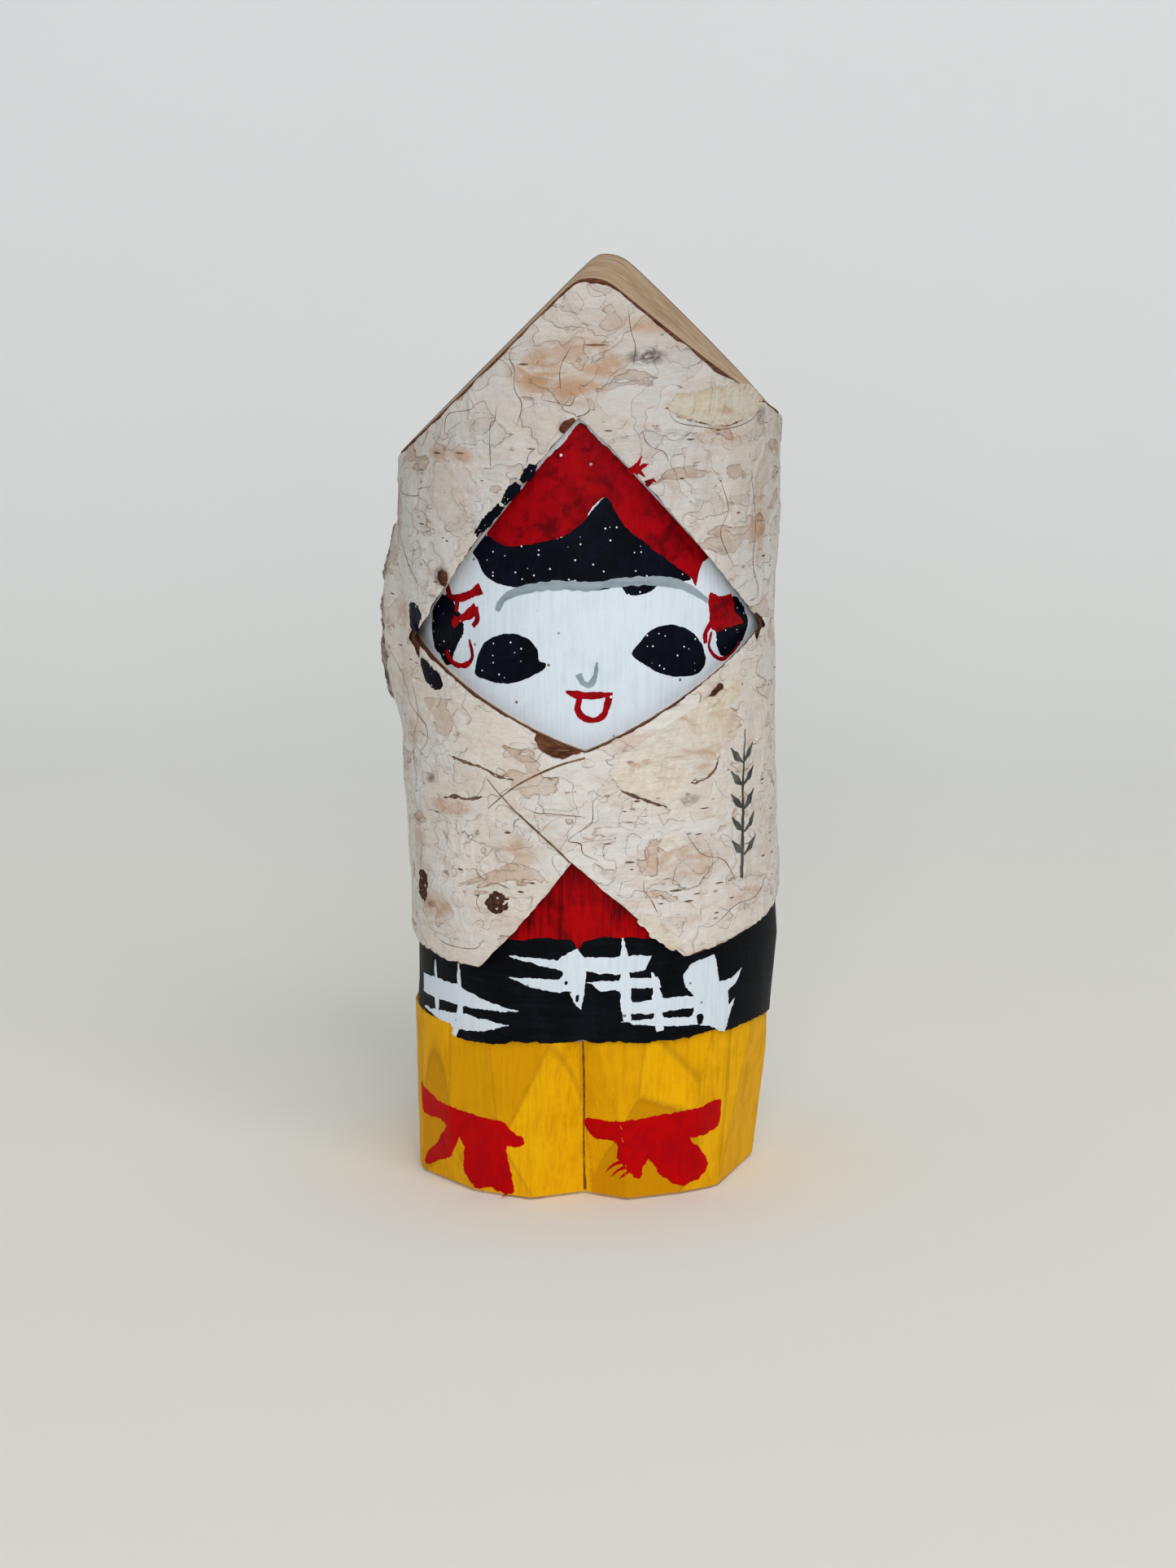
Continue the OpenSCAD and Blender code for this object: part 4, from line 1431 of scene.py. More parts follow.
    def build_swelling(self) -> bpy.types.Object:
        """The craggy swelling where a branch once was."""
        log = self.log
        swell = self.swelling
        ring = [
            (swell.direction * log.bark_r + 12.0 * math.cos(a), swell.middle_z + 2 + 18.0 * math.sin(a))
            for a in np.linspace(0, 2 * math.pi, 40, endpoint=False)
        ]
        loop = ragged(ragged(even(smooth(ring), 0.8), 5.0, 9.0, 4.0), 1.2, 1.8, 8.0)
        panel = Panel([loop], step=0.8, seed=6)
        base = self.skin.radius(0.0, log.bark_r)

        def outer(turn: np.ndarray, z: np.ndarray) -> np.ndarray:
            """The craggy face, standing over the papery bark."""
            plates = []
            for angle, h in zip(turn, z):
                x, y = log.bark_r * math.sin(angle), -log.bark_r * math.cos(angle)
                value = noise.fractal(Vector((x / 8, y / 8, h / 5)), 0.8, 2.1, 4) * 4
                whole = math.floor(value)
                rest = min(1.0, max(0.0, (value - whole - 0.7) / 0.25))
                ridge = noise.fractal(Vector((x / 2.2, y / 2.2, h / 1.6)), 0.7, 2.0, 3)
                plates.append((whole + rest) * 0.2 + 0.25 * ridge)
            return base(turn, z) + 0.35 + np.clip(np.array(plates), -0.5, 0.9)

        piece = panel.wrap("swelling_patch", log.bark_r, outer, self.skin.radius(-0.4, 39), rim_drop=0.6)
        return dress(piece, self.palette.rough, "rough_bark", ("swelling_bark",), crease=50)

    def build_knots(self) -> bpy.types.Object:
        """The two corky knots at the front."""
        log = self.log
        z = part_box("bark_knots")[0].z / MM + 3.0
        loops = []
        around = np.linspace(0, 6.283, 14, endpoint=False)
        for s, half_s, half_z, seed in ((-18.0, 2.75, 2.25, 1.0), (-42.6, 2.6, 3.6, 2.0)):
            ring = [(s + half_s * math.cos(a), z + half_z * math.sin(a)) for a in around]
            loops.append(ragged(even(smooth(ring), 0.35), 0.55, 1.3, seed))
        panel = Panel(loops, step=0.4, seed=7)
        base = self.skin.radius(0.12, log.bark_r)

        def outer(turn: np.ndarray, height: np.ndarray) -> np.ndarray:
            """The knots' crumbly face."""
            spots = [Vector((a * 34, h / 1.1, 3.0)) for a, h in zip(turn, height)]
            return base(turn, height) + np.array([noise.fractal(p, 0.7, 2.0, 4) * 0.3 for p in spots])

        sink = self.skin.radius(-0.5, log.bark_r - 0.6)
        piece = panel.wrap("knots", log.bark_r, outer, sink, rim_drop=0.15)
        return dress(piece, self.palette.knot, "knot_wood", ("bark_knots",), crease=60)

    def build_ink(self) -> bpy.types.Object:
        """A plain sprig drawn in ink on the right lapel."""
        log = self.log
        low, high = (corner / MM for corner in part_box("ink_sprig"))
        foot, tip = low.z + 1.0, high.z - 1.0
        s = math.radians(56) * log.bark_r
        stem = ((s - 1, foot), (s - 0.4, (foot + tip) / 2), (s + 1, tip))
        loops = [brush_line(stem, (1.1, 1.0, 0.7, 0.3), seed=1)]
        for i in range(1, 6):
            z = foot + (tip - foot) * i / 6.4
            for side in (-1, 1):
                leaf = ((s, z), (s + side * 2.4, z + 1.6), (s + side * 4.4, z + 3.6))
                loops.append(brush_line(leaf, (0.4, 0.9, 1.7, 0.9, 0.2), seed=i + side))
        panel = Panel(loops, step=0.7, seed=8)
        lift = self.skin.radius(0.06, log.bark_r)
        piece = panel.wrap("sprig", log.bark_r, lift, self.skin.radius(-0.15, log.bark_r - 0.2))
        return dress(piece, self.palette.ink, "ink", ("ink_sprig",))

    def build_overruns(self) -> None:
        """Paint that ran over the opening's edge onto the bark."""
        log = self.log
        black = (
            ((-9.6, 153.2), (-10.4, 151.6), (-12.2, 149.6)),
            ((-12.8, 149.2), (-14.4, 147.2), (-16.2, 145.0)),
            ((-16.6, 144.6), (-19.6, 141.6), (-22.6, 138.2)),
        )
        daub, flick = (1.2, 2.2, 1.9, 1.0), (1.4, 0.9, 0.2)
        loops = [ragged(brush_line(p, daub, 0.4, i), 0.3, 1.0, i) for i, p in enumerate(black)]
        blobs = (
            ((-45.5, 121.6), (-42.4, 122.2), (-39.6, 120.2), (-41, 118.2), (-43.5, 116.4), (-45.8, 117.4)),
            ((-40.8, 111.2), (-37, 110.4), (-33.5, 108.4), (-32.6, 106.2), (-35.5, 105.4), (-39, 107.2)),
        )
        loops += [ragged(even(smooth(p), 0.4), 0.4, 1.2, i + 7.0) for i, p in enumerate(blobs)]
        for i in range(3):
            line = ((34 + i * 1.6, 104.4 + i * 0.8), (36 + i * 1.4, 105.6 + i * 0.5))
            loops.append(brush_line(line, (0.3, 0.7, 0.2)))
        lift, sink = self.skin.radius(0.07, log.bark_r), self.skin.radius(-0.3, log.bark_r - 0.4)
        piece = Panel(loops, step=0.7, seed=9).wrap("overrun_daubs", log.bark_r, lift, sink, rim_drop=0.03)
        dress(piece, self.palette.black, "black_paint", ("overrun_black",))
        red = (
            ((9.6, 151.6), (11.2, 152.8), (12.4, 154.8)),
            ((11, 151.6), (12.6, 152.8), (13.8, 153.2)),
            ((13.2, 149.2), (14.6, 150.0), (15.2, 149.6)),
            ((10.4, 152.2), (12, 151.6), (13, 150.6)),
        )
        loops = [ragged(brush_line(p, flick, 0.3, i), 0.2, 0.8, i) for i, p in enumerate(red)]
        piece = Panel(loops, step=0.6, seed=10).wrap("overrun_flicks", log.bark_r, lift, sink)
        dress(piece, self.palette.red, "red_paint", ("overrun_red",))

    def build(self) -> None:
        """Builds all the bark."""
        self.build_inner()
        self.build_outer()
        self.build_swelling()
        self.build_flakes()
        self.build_knots()
        self.build_cracks()
        self.build_ink()
        self.build_overruns()


# ---------------------------------------------------------------- wood


class Core:
    """The log itself: the roof cuts, the sunk face and the base."""

    def __init__(self, log: LogSizes, palette: Palette, clothes: Radius, boots: Radius) -> None:
        """Keeps the sizes and finishes.

        Args:
            log: The log's sizes.
            palette: The finishes.
            clothes: Radius of the skirt's paint.
            boots: Radius of the boots' paint.
        """
        self.log = log
        self.palette = palette
        self.clothes = clothes
        self.boots = boots
        self.foot_top = 62.0

    def build(self) -> bpy.types.Object:
        """A merged copy of the CAD log with chisel and saw marks on its roof."""
        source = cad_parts["carved_log"]
        piece = source.copy()
        piece.data = source.data.copy()
        piece.name = "log_core"
        for key in list(piece.keys()):
            del piece[key]
        bpy.context.scene.collection.objects.link(piece)
        piece.parent = None
        shape = bmesh.new()
        shape.from_mesh(piece.data)
        bmesh.ops.remove_doubles(shape, verts=shape.verts, dist=0.002 * MM)
        roof = self._roof_faces(shape)
        bmesh.ops.dissolve_limit(
            shape,
            angle_limit=math.radians(1),
            verts=unique(v for f in roof for v in f.verts),
            edges=unique(e for f in roof for e in f.edges if all(g in roof for g in e.link_faces)),
        )
        for y in np.arange(-36.0, 36.1, 1.0):
            self._score(shape, Vector((0, y * MM, 0)), Vector((0, 1, 0)))
        for x in (*np.arange(-34.0, -3, 4.0), *np.arange(-2.5, 7.1, 0.8), *np.arange(9, 34.1, 4.0)):
            self._score(shape, Vector((x * MM, 0, 0)), Vector((1, 0, 0)))
        for vert in shape.verts:
            slopes = [f for f in vert.link_faces if f.normal.z > UPWARD]
            if vert.co.z > ROOF_FROM and slopes:
                x, y, z = vert.co / MM
                cut = float(self.log.roof.height(np.array([x]), np.array([y]))[0])
                scrape = noise.noise(Vector((x / 25, y / 1.3, 3.0))) * 0.10
                hollow = noise.noise(Vector((x / 11, y / 8, 9.0))) * 0.22
                inner = len(slopes) == len(vert.link_faces)
                vert.co.z = (min(z, cut) + (scrape + hollow - 0.12 if inner else 0)) * MM
        below = bmesh.ops.bisect_plane(
            shape,
            geom=shape.verts[:] + shape.edges[:] + shape.faces[:],
            plane_co=Vector((0, 0, self.foot_top * MM)),
            plane_no=Vector((0, 0, 1)),
            clear_inner=True,
        )
        cut_edges = [e for e in below["geom_cut"] if isinstance(e, bmesh.types.BMEdge)]
        bmesh.ops.contextual_create(shape, geom=cut_edges)
        self._add_foot(shape)
        bmesh.ops.recalc_face_normals(shape, faces=shape.faces[:])
        shape.to_mesh(piece.data)
        shape.free()
        return dress(piece, self.palette.wood, "log_wood", ("carved_log",), crease=28)

    def _add_foot(self, shape: bmesh.types.BMesh) -> None:
        """Adds the trimmed foot of the log, just inside the paint of the skirt and the boots."""
        turn = np.linspace(-math.pi, math.pi, 240, endpoint=False)
        rings = []
        for z in (*np.arange(0, 36, 3.0), 38, 44, 50, 56, self.foot_top + 2.0):
            skin = self.boots if z < 36 else self.clothes
            radius = skin(turn, np.full(len(turn), float(z))) - 0.32
            rings.append([shape.verts.new(p) for p in on_log(turn, np.full(len(turn), float(z)), radius)])
        for low, high in zip(rings, rings[1:]):
            for i in range(len(turn)):
                j = (i + 1) % len(turn)
                shape.faces.new((low[i], low[j], high[j], high[i]))
        shape.faces.new(rings[0][::-1])
        shape.faces.new(rings[-1])

    @staticmethod
    def _roof_faces(shape: bmesh.types.BMesh) -> list:
        """The faces of the roof cuts: high up, and facing upwards."""
        return [f for f in shape.faces if f.normal.z > UPWARD and f.calc_center_median().z > ROOF_FROM]

    def _score(self, shape: bmesh.types.BMesh, place: Vector, normal: Vector) -> None:
        """Splits the roof faces along one plane."""
        roof = self._roof_faces(shape)
        geometry = roof + unique(e for f in roof for e in f.edges) + unique(v for f in roof for v in f.verts)
        bmesh.ops.bisect_plane(shape, geom=geometry, dist=1e-7, plane_co=place, plane_no=normal)


# ---------------------------------------------------------------- face


@dataclass
class FaceDrawing:
    """The painted face, drawn at the radius of its paint."""

    ref: float = 36.4
    hair: Path = (
        (-24.1, 134.6), (-21.5, 137.6), (-18.9, 138.2), (-15.1, 137.2), (-9.2, 137.6), (-3.7, 139.0),
        (0.1, 141.4), (2.8, 144.5), (5.0, 146.5), (7.2, 143.9), (9.4, 140.5), (12.7, 138.0), (16.2, 134.8),
        (19.9, 131.8), (23.4, 129.0), (18.6, 128.9), (13.9, 129.0), (9.4, 128.9), (3.4, 127.6),
        (-3.7, 128.4), (-11.6, 127.6), (-17.7, 128.3), (-21.0, 129.9), (-22.7, 132.5),
    )
    scarf: Path = (
        (-0.2, 161.2), (3.4, 157.8), (8.0, 153.8), (12.7, 149.8), (18.6, 143.8), (23.7, 138.4),
        (28.2, 134.0), (25.6, 131.6), (24.4, 127.4), (23.1, 129.4), (16.2, 134.3), (12.7, 137.2),
        (9.4, 139.5), (7.0, 143.2), (5.0, 146.3), (2.4, 144.6), (0.1, 141.2), (-3.7, 138.4), (-9.2, 136.9),
        (-15.1, 135.9), (-18.9, 137.0), (-20.6, 139.8), (-14.5, 145.3), (-10.4, 150.1), (-6.4, 154.6),
        (-3.2, 157.6),
    )
    forelock: Path = ((8.6, 129.2), (16.0, 129.4), (14.6, 127.4), (11.4, 126.4), (9.0, 126.8))
    brow: Path = (
        (-18, 122.7), (-16.4, 125.3), (-13.3, 126.9), (-9.2, 128.0), (-3.7, 128.6), (1.8, 128.4),
        (7.2, 129.1), (12.8, 129.3), (18.6, 128.7), (23.1, 127.0), (27.6, 124.2),
    )
    eye_left: Path = (
        (-23.6, 110.4), (-22.8, 113.2), (-20.4, 116.5), (-15.8, 118.2), (-11.6, 117.7), (-9.3, 115.6),
        (-8.6, 113.1), (-7.3, 112.7), (-7.6, 111.5), (-9.3, 110.4), (-12.8, 108.6), (-17.1, 107.9),
        (-21.1, 108.4), (-23.3, 109.0),
    )
    eye_right: Path = (
        (10.2, 114.6), (11.9, 117.0), (14.5, 119.4), (18.1, 120.1), (21.8, 119.2), (25.2, 116.7),
        (27.0, 112.9), (26.3, 110.5), (23.8, 109.3), (19.3, 109.5), (15.7, 110.5), (12.8, 112.3),
    )
    nose: Path = ((-0.6, 110.6), (0.2, 108.9), (1.6, 108.4), (2.7, 110.1), (3.1, 113.0))
    mouth_bar: Path = ((-3.2, 107.0), (-1.0, 106.4), (2.0, 106.2), (6.3, 106.5))
    mouth_loop: Path = (
        (-0.2, 106.2), (-0.8, 103.6), (0.3, 101.8), (2.6, 101.2), (4.4, 102.2), (5.2, 104.4), (5.6, 106.2)
    )
    side_left: Path = (
        (-35.9, 123.7), (-31.7, 124.5), (-29.4, 122.5), (-27.3, 119.9), (-27.4, 117.2), (-29.5, 113.6),
        (-32.0, 109.9), (-34.8, 112.0), (-37.8, 114.5), (-38.0, 119.8),
    )
    ribbons_left: Sequence[Path] = (
        ((-32.2, 127), (-31.0, 124.4), (-28.0, 124.4), (-25.0, 125.4), (-22.0, 126.9)),
        ((-32.0, 118.6), (-28.6, 119.8), (-25.4, 121.3), (-23.2, 122.8)),
        ((-23.6, 122.9), (-23.0, 120.6), (-24.2, 119.0)),
        ((-28.8, 124.2), (-29.0, 122.0), (-29.8, 119.6)),
        ((-28.6, 119.2), (-31.6, 117.0), (-32.6, 113.6), (-30.4, 110.9), (-26.6, 110.7), (-24.4, 112.6),
         (-25.2, 116.2)),
    )
    side_right: Path = (
        (30.3, 123.4), (35.5, 124.3), (38.6, 122.3), (41.2, 118.3), (39.4, 115.6), (35.6, 112.6),
        (31.4, 112.9), (29.6, 117.4),
    )
    knot_right: Path = (
        (28, 125.5), (31, 124.9), (34.5, 124.8), (36, 120.8), (38.6, 118.6), (34.6, 118.2), (28.8, 118),
    )
    ribbons_right: Sequence[Path] = (
        ((34, 121.4), (37, 119.8), (39.8, 117.8)),
        ((28.6, 119.6), (27.0, 117.8), (27.0, 115.6)),
        ((28.6, 117.8), (28.0, 114.6), (30.6, 112.2), (34.2, 112.2), (37.6, 115.0), (38.2, 117.4)),
    )


class Face:
    """The white face and what is painted on it, each colour a thin coat on the last."""

    def __init__(self, log: LogSizes, palette: Palette) -> None:
        """Keeps the sizes and finishes."""
        self.log = log
        self.palette = palette
        self.drawing = FaceDrawing()
        self.ground_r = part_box("face_white")[0].y / -MM

    def skin(self, lift: float) -> Radius:
        """The face's gently uneven surface, raised by some coats of paint."""

        def radius(turn: np.ndarray, z: np.ndarray) -> np.ndarray:
            """Radius at each point."""
            hollow = [noise.noise(Vector((a * 3.4, h / 13, 6.0))) * 0.13 for a, h in zip(turn, z)]
            return self.ground_r + np.array(hollow) + lift

        return radius

    def coat(
        self,
        name: str,
        loops: Sequence[np.ndarray],
        lift: float,
        material: bpy.types.Material,
        slot: str,
        node: str,
        holes: Sequence[np.ndarray] = (),
        step: float = 0.9,
    ) -> bpy.types.Object:
        """One colour on the face.

        Args:
            name: The piece's name.
            loops: Its outlines.
            lift: How far it stands over the white.
            material: Its finish.
            slot: Its material slot.
            node: The CAD node it stands for.
            holes: Parts left open.
            step: Size of its triangles.

        Returns:
            The piece.
        """
        panel = Panel(loops, holes, step=step, seed=12)
        piece = panel.wrap(name, self.drawing.ref, self.skin(lift), self.skin(-0.25), rim_drop=lift * 0.5)
        return dress(piece, material, slot, (node,), crease=50)

    def inside_paint(self, loop: np.ndarray, margin: float) -> np.ndarray:
        """A loop pushed back inside the face opening where it would cross the rim."""
        limit = self.log.face_hole(self.drawing.ref)
        centre = limit.mean(0)
        way = limit - centre
        angles = np.arctan2(way[:, 1], way[:, 0])
        order = np.argsort(angles)
        reach = np.linalg.norm(way, axis=1)[order] - margin
        own = loop - centre
        length = np.linalg.norm(own, axis=1)
        most = np.interp(np.arctan2(own[:, 1], own[:, 0]), angles[order], reach, period=2 * math.pi)
        return centre + own * np.minimum(1, most / np.maximum(length, 1e-6))[:, None]

    def patch(self, points: Path, seed: float, rough: float = 0.16) -> np.ndarray:
        """A painted shape with a brushed edge."""
        loop = even(smooth(points), 0.45)
        loop = ragged(ragged(loop, rough, 2.2, seed), rough * 0.6, 0.7, seed + 5)
        return self.inside_paint(loop, 0.9)

    def line(self, points: Path, widths: Sequence[float], seed: float) -> np.ndarray:
        """A painted line with a brushed edge."""
        return self.inside_paint(ragged(brush_line(points, widths, 0.35, seed), 0.09, 0.8, seed), 0.8)

    def build(self) -> None:
        """Builds the whole face."""
        d, p = self.drawing, self.palette
        black, red, grey = (p.black, "black_paint"), (p.red, "red_paint"), (p.grey, "grey_paint")
        left_widths = (
            (1.5, 1.6, 1.7, 2.2), (1.2, 1.6, 2.4), (1.6, 0.9), (1.2, 0.8), (0.7, 0.9, 1.0, 1.2, 1.0, 0.5)
        )
        right_widths = ((1.4, 0.6), (1.4, 1.0), (0.5, 0.8, 0.7, 0.4))
        left = [self.line(r, w, 10.0 + i) for i, (r, w) in enumerate(zip(d.ribbons_left, left_widths))]
        right = [self.line(r, w, 16.0 + i) for i, (r, w) in enumerate(zip(d.ribbons_right, right_widths))]
        brow = self.line(d.brow, (1.3, 1.5, 1.8, 1.9, 1.7, 1.9, 2.0, 1.6, 0.9), 3.0)
        bar = self.line(d.mouth_bar, (0.6, 1.7, 1.4, 1.2, 0.6), 7.0)
        loop = self.line(d.mouth_loop, (1.2, 1.3, 1.2, 1.3, 1.4), 8.0)
        ground = self.inside_paint(even(self.log.face_hole(d.ref), 0.6), 0.1)
        ground = [ragged(ground, 0.12, 1.5, 3.0)]
        self.coat("face_ground", ground, 0.0, p.white, "white_paint", "face_white", step=1.3)
        for name, node, paint, lift, loops in (
            ("scarf", "scarf_red", red, 0.12, [self.patch(d.scarf, 1.0, 0.2)]),
            ("hair", "hair_black", black, 0.07, [self.patch(d.hair, 2.0), self.patch(d.forelock, 2.5)]),
            ("brow", "brow_line", grey, 0.18, [brow]),
            ("eye_l", "eye_left", black, 0.08, [self.patch(d.eye_left, 4.0)]),
            ("eye_r", "eye_right", black, 0.08, [self.patch(d.eye_right, 5.0, 0.12)]),
            ("nose", "nose_line", grey, 0.07, [self.line(d.nose, (1.2, 1.2, 1.4, 0.8, 0.5), 6.0)]),
            ("mouth", "mouth_line", red, 0.08, [bar, loop]),
            ("side_hair_l", "side_hair_left", black, 0.08, [self.patch(d.side_left, 9.0, 0.4)]),
            ("ribbon_l", "ribbon_left", red, 0.15, left),
            ("side_hair_r", "side_hair_right", black, 0.08, [self.patch(d.side_right, 15.0, 0.4)]),
            ("ribbon_r", "ribbon_right", red, 0.15, [*right, self.patch(d.knot_right, 20.0, 0.4)]),
        ):
            self.coat(name, loops, lift, *paint, node)


# ---------------------------------------------------------------- clothes


@dataclass
class ClothesDrawing:
    """The coat front, the skirt and its cross-hatch, drawn at the paint's radius."""

    ref: float = 37.3
    plain_line: float = 34.4
    coat_line: float = 58.0
    lower_line: Path = (
        (-45.8, 35.7), (-41.5, 33.9), (-36, 33.6), (-31.5, 33.5), (-29.7, 32.7), (-24, 32.6), (-18.9, 32.8),
        (-15.8, 33.5), (-11.7, 34.2), (-7.2, 34.2), (-0.3, 35), (3.4, 34.5), (14.3, 34.3), (20.1, 34),
        (25.2, 34.4), (28.7, 35), (34.2, 34.3), (44.8, 34.6), (59.1, 33.4),
    )
    red_line: Path = (
        (-16, 55.2), (-12.5, 55.5), (-7.5, 56), (-2.2, 56), (-0.6, 53.8), (0.9, 56), (7.5, 56.5),
        (20, 55.4),
    )
    upper_left: Path = (
        (-45.6, 43), (-36.8, 43.8), (-29.6, 43.8), (-22, 41.8), (-13.2, 40.4), (-17, 39.8), (-25.7, 39.6),
        (-36.3, 39.5), (-45.7, 39.1),
    )
    lower_left: Path = (
        (-44.8, 36.2), (-34.3, 37.2), (-27.3, 37.9), (-15.3, 37.2), (-20, 35.6), (-23.6, 34.9),
        (-29.7, 34.4), (-37, 35.2),
    )
    posts_left: Sequence[Path] = (
        ((-38.2, 47.4), (-37.8, 43), (-37.2, 36)),
        ((-29.0, 48.4), (-28.8, 43), (-28.7, 37), (-30.6, 32.8)),
    )
    middle: Path = (
        (-15.5, 51.8), (-10, 51.9), (-5, 51.7), (-2.8, 53.2), (-0.9, 54.3), (1.0, 52.2), (0.9, 47.4),
        (0.6, 44.6), (0.0, 41.4), (-1.4, 42.6), (-2.6, 45.3), (-5.1, 44.9), (-10, 45.6), (-15.4, 47.3),
        (-9.4, 47.6), (-4.4, 47.5), (-3.6, 49.4), (-9.4, 50.5),
    )
    right_bars: Sequence[Path] = (
        ((0.8, 52.3), (7.5, 52.6), (14.8, 52.4), (13.2, 49.4), (7, 48.8), (0.9, 49.4)),
        ((0.8, 47.2), (8, 47.6), (15.8, 47.8), (16.6, 45.4), (10, 45.6), (4, 45.4)),
        ((9.2, 42.6), (16, 43.2), (24.6, 43.0), (24.2, 40.6), (16, 40.4), (9.4, 40.2)),
        ((8.0, 38.8), (15, 39.2), (24, 38.6), (24, 36.8), (15, 37.4)),
    )
    posts_right: Sequence[Path] = (
        ((8.4, 56.3), (8.8, 52), (9.0, 46), (9.4, 38.8)),
        ((14.6, 48.8), (15.6, 45), (16.0, 40), (16.4, 36.4)),
    )
    panel: Path = (
        (21.6, 47.8), (23.2, 49.6), (26.4, 50.6), (29.2, 50.9), (30.2, 47.4), (30.8, 45), (34.2, 45.2),
        (37.4, 46.8), (35.6, 43.9), (33.2, 42.8), (33.6, 39.6), (35.6, 40.8), (33.9, 37.4), (32.6, 33.8),
        (30.2, 35.2), (25.6, 36.6), (23.4, 37.2), (24.2, 40), (23.8, 43), (22.0, 45),
    )
    pinholes: Sequence[Path] = (
        ((25.2, 36.9), (26.4, 36.9), (26.6, 38.6), (25.0, 38.8)),
        ((-3.4, 46.6), (-2.9, 46.6), (-2.9, 47.4), (-3.5, 47.3)),
        ((-1.2, 43.2), (-0.6, 43.2), (-0.5, 44.6), (-1.1, 44.4)),
    )


class Clothes:
    """The painted coat front and skirt."""

    def __init__(self, log: LogSizes, palette: Palette) -> None:
        """Keeps the sizes and finishes."""
        self.log = log
        self.palette = palette
        self.drawing = ClothesDrawing()
        self.paint_r = log.wood_r + 0.25
        self.heights = (33.0, 40.0, 50.0, 58.0)
        self.right_out = (0.6, 1.2, 2.0, 1.6)
        self.left_out = (-0.5, -0.9, -0.9, -0.5)

    def skin(self, lift: float) -> Radius:
        """The trimmed wood under the clothes, raised by some coats of paint."""

        def radius(turn: np.ndarray, z: np.ndarray) -> np.ndarray:
            """Radius at each point."""
            seamless = [(math.sin(a) * 3, math.cos(a) * 3, h / 11) for a, h in zip(turn, z)]
            hollow = [noise.noise(Vector(p)) * 0.12 for p in seamless]
            right = np.maximum(0, np.sin(turn)) ** 3 * np.interp(z, self.heights, self.right_out)
            left = np.maximum(0, -np.sin(turn)) ** 3 * np.interp(z, self.heights, self.left_out)
            return self.paint_r + np.array(hollow) + right + left + lift

        return radius

    def build_skirt(self) -> None:
        """The black band, from the boots to under the hem, and the red above it in the opening."""
        d, log = self.drawing, self.log
        half = math.pi * d.ref
        low_line = even(smooth(d.lower_line, closed=False), 0.6, closed=False)
        left_x = np.arange(-half, low_line[0, 0], 0.6)
        right_x = np.append(np.arange(low_line[-1, 0] + 0.6, half, 0.6), half)
        left, right = (np.column_stack([x, np.full(len(x), d.plain_line)]) for x in (left_x, right_x))
        bottom = np.vstack([left, low_line, right])
        ease = np.clip((half - np.abs(bottom[:, 0])) / 8, 0, 1)[:, None]
        wobbled = ragged(ragged(bottom, 0.5, 5, 2.0, False), 0.25, 1.2, 4.0, False)
        bottom = bottom + (wobbled - bottom) * ease
        top_x = np.arange(half, -half - 0.01, -1.0)
        top_x[-1] = -half
        top = np.column_stack([top_x, log.hem.height(top_x / d.ref, d.ref) + 1.2])
        inside_v = np.abs(top_x - 1.0) < 24
        top[inside_v, 1] = d.coat_line
        side_z = np.linspace(bottom[-1, 1], top[0, 1], 20)[1:-1]
        loop = np.vstack([
            bottom,
            np.column_stack([np.full(18, half), side_z]),
            top,
            np.column_stack([np.full(18, -half), side_z[::-1]]),
        ])
        panel = Panel([loop], step=1.3, seed=14)
        piece = panel.wrap("skirt_band", d.ref, self.skin(0.05), self.skin(-0.9), seam=half)
        dress(piece, self.palette.skirt, "black_paint", ("skirt_black",), crease=50)
        line = even(smooth(d.red_line, closed=False), 0.5, closed=False)
        line = ragged(ragged(line, 0.3, 3, 1.0, False), 0.15, 0.8, 2.0, False)
        loop = np.vstack([line, [[22, 62], [10, 74.5], [-1.8, 76.5], [-10, 74.5], [-16, 62]]])
        piece = Panel([even(loop, 0.7)], step=1.0, seed=15).wrap(
            "coat_front", d.ref, self.skin(0.13), self.skin(-0.9), rim_drop=0.05
        )
        dress(piece, self.palette.coat, "red_paint", ("coat_red",), crease=50)

    def build_hatch(self) -> None:
        """The white cross-hatch on the skirt."""
        d = self.drawing
        loops = []
        for i, points in enumerate((d.upper_left, d.lower_left, d.middle, d.panel, *d.right_bars)):
            loop = even(np.array(points), 0.35)
            loops.append(ragged(ragged(loop, 0.28, 2.6, i + 1.0), 0.16, 0.6, i + 9.0))
        left, right = (0.3, 1.3, 1.7, 1.8, 1.2), (0.4, 1.6, 2.2, 2.4, 1.4)
        for posts, widths, seed in ((d.posts_left, left, 20.0), (d.posts_right, right, 30.0)):
            for i, points in enumerate(posts):
                loops.append(ragged(brush_line(points, widths, 0.4, i), 0.2, 1.0, i + seed))
        holes = [ragged(even(smooth(h), 0.3), 0.15, 0.6, i) for i, h in enumerate(d.pinholes)]
        panel = Panel(loops, holes, step=0.9, seed=16)
        piece = panel.wrap("skirt_hatch", d.ref, self.skin(0.19), self.skin(-0.1), rim_drop=0.05)
        dress(piece, self.palette.white, "white_paint", ("skirt_pattern",), crease=50)

    def build(self) -> None:
        """Builds the clothes."""
        self.build_skirt()
        self.build_hatch()


# ---------------------------------------------------------------- boots


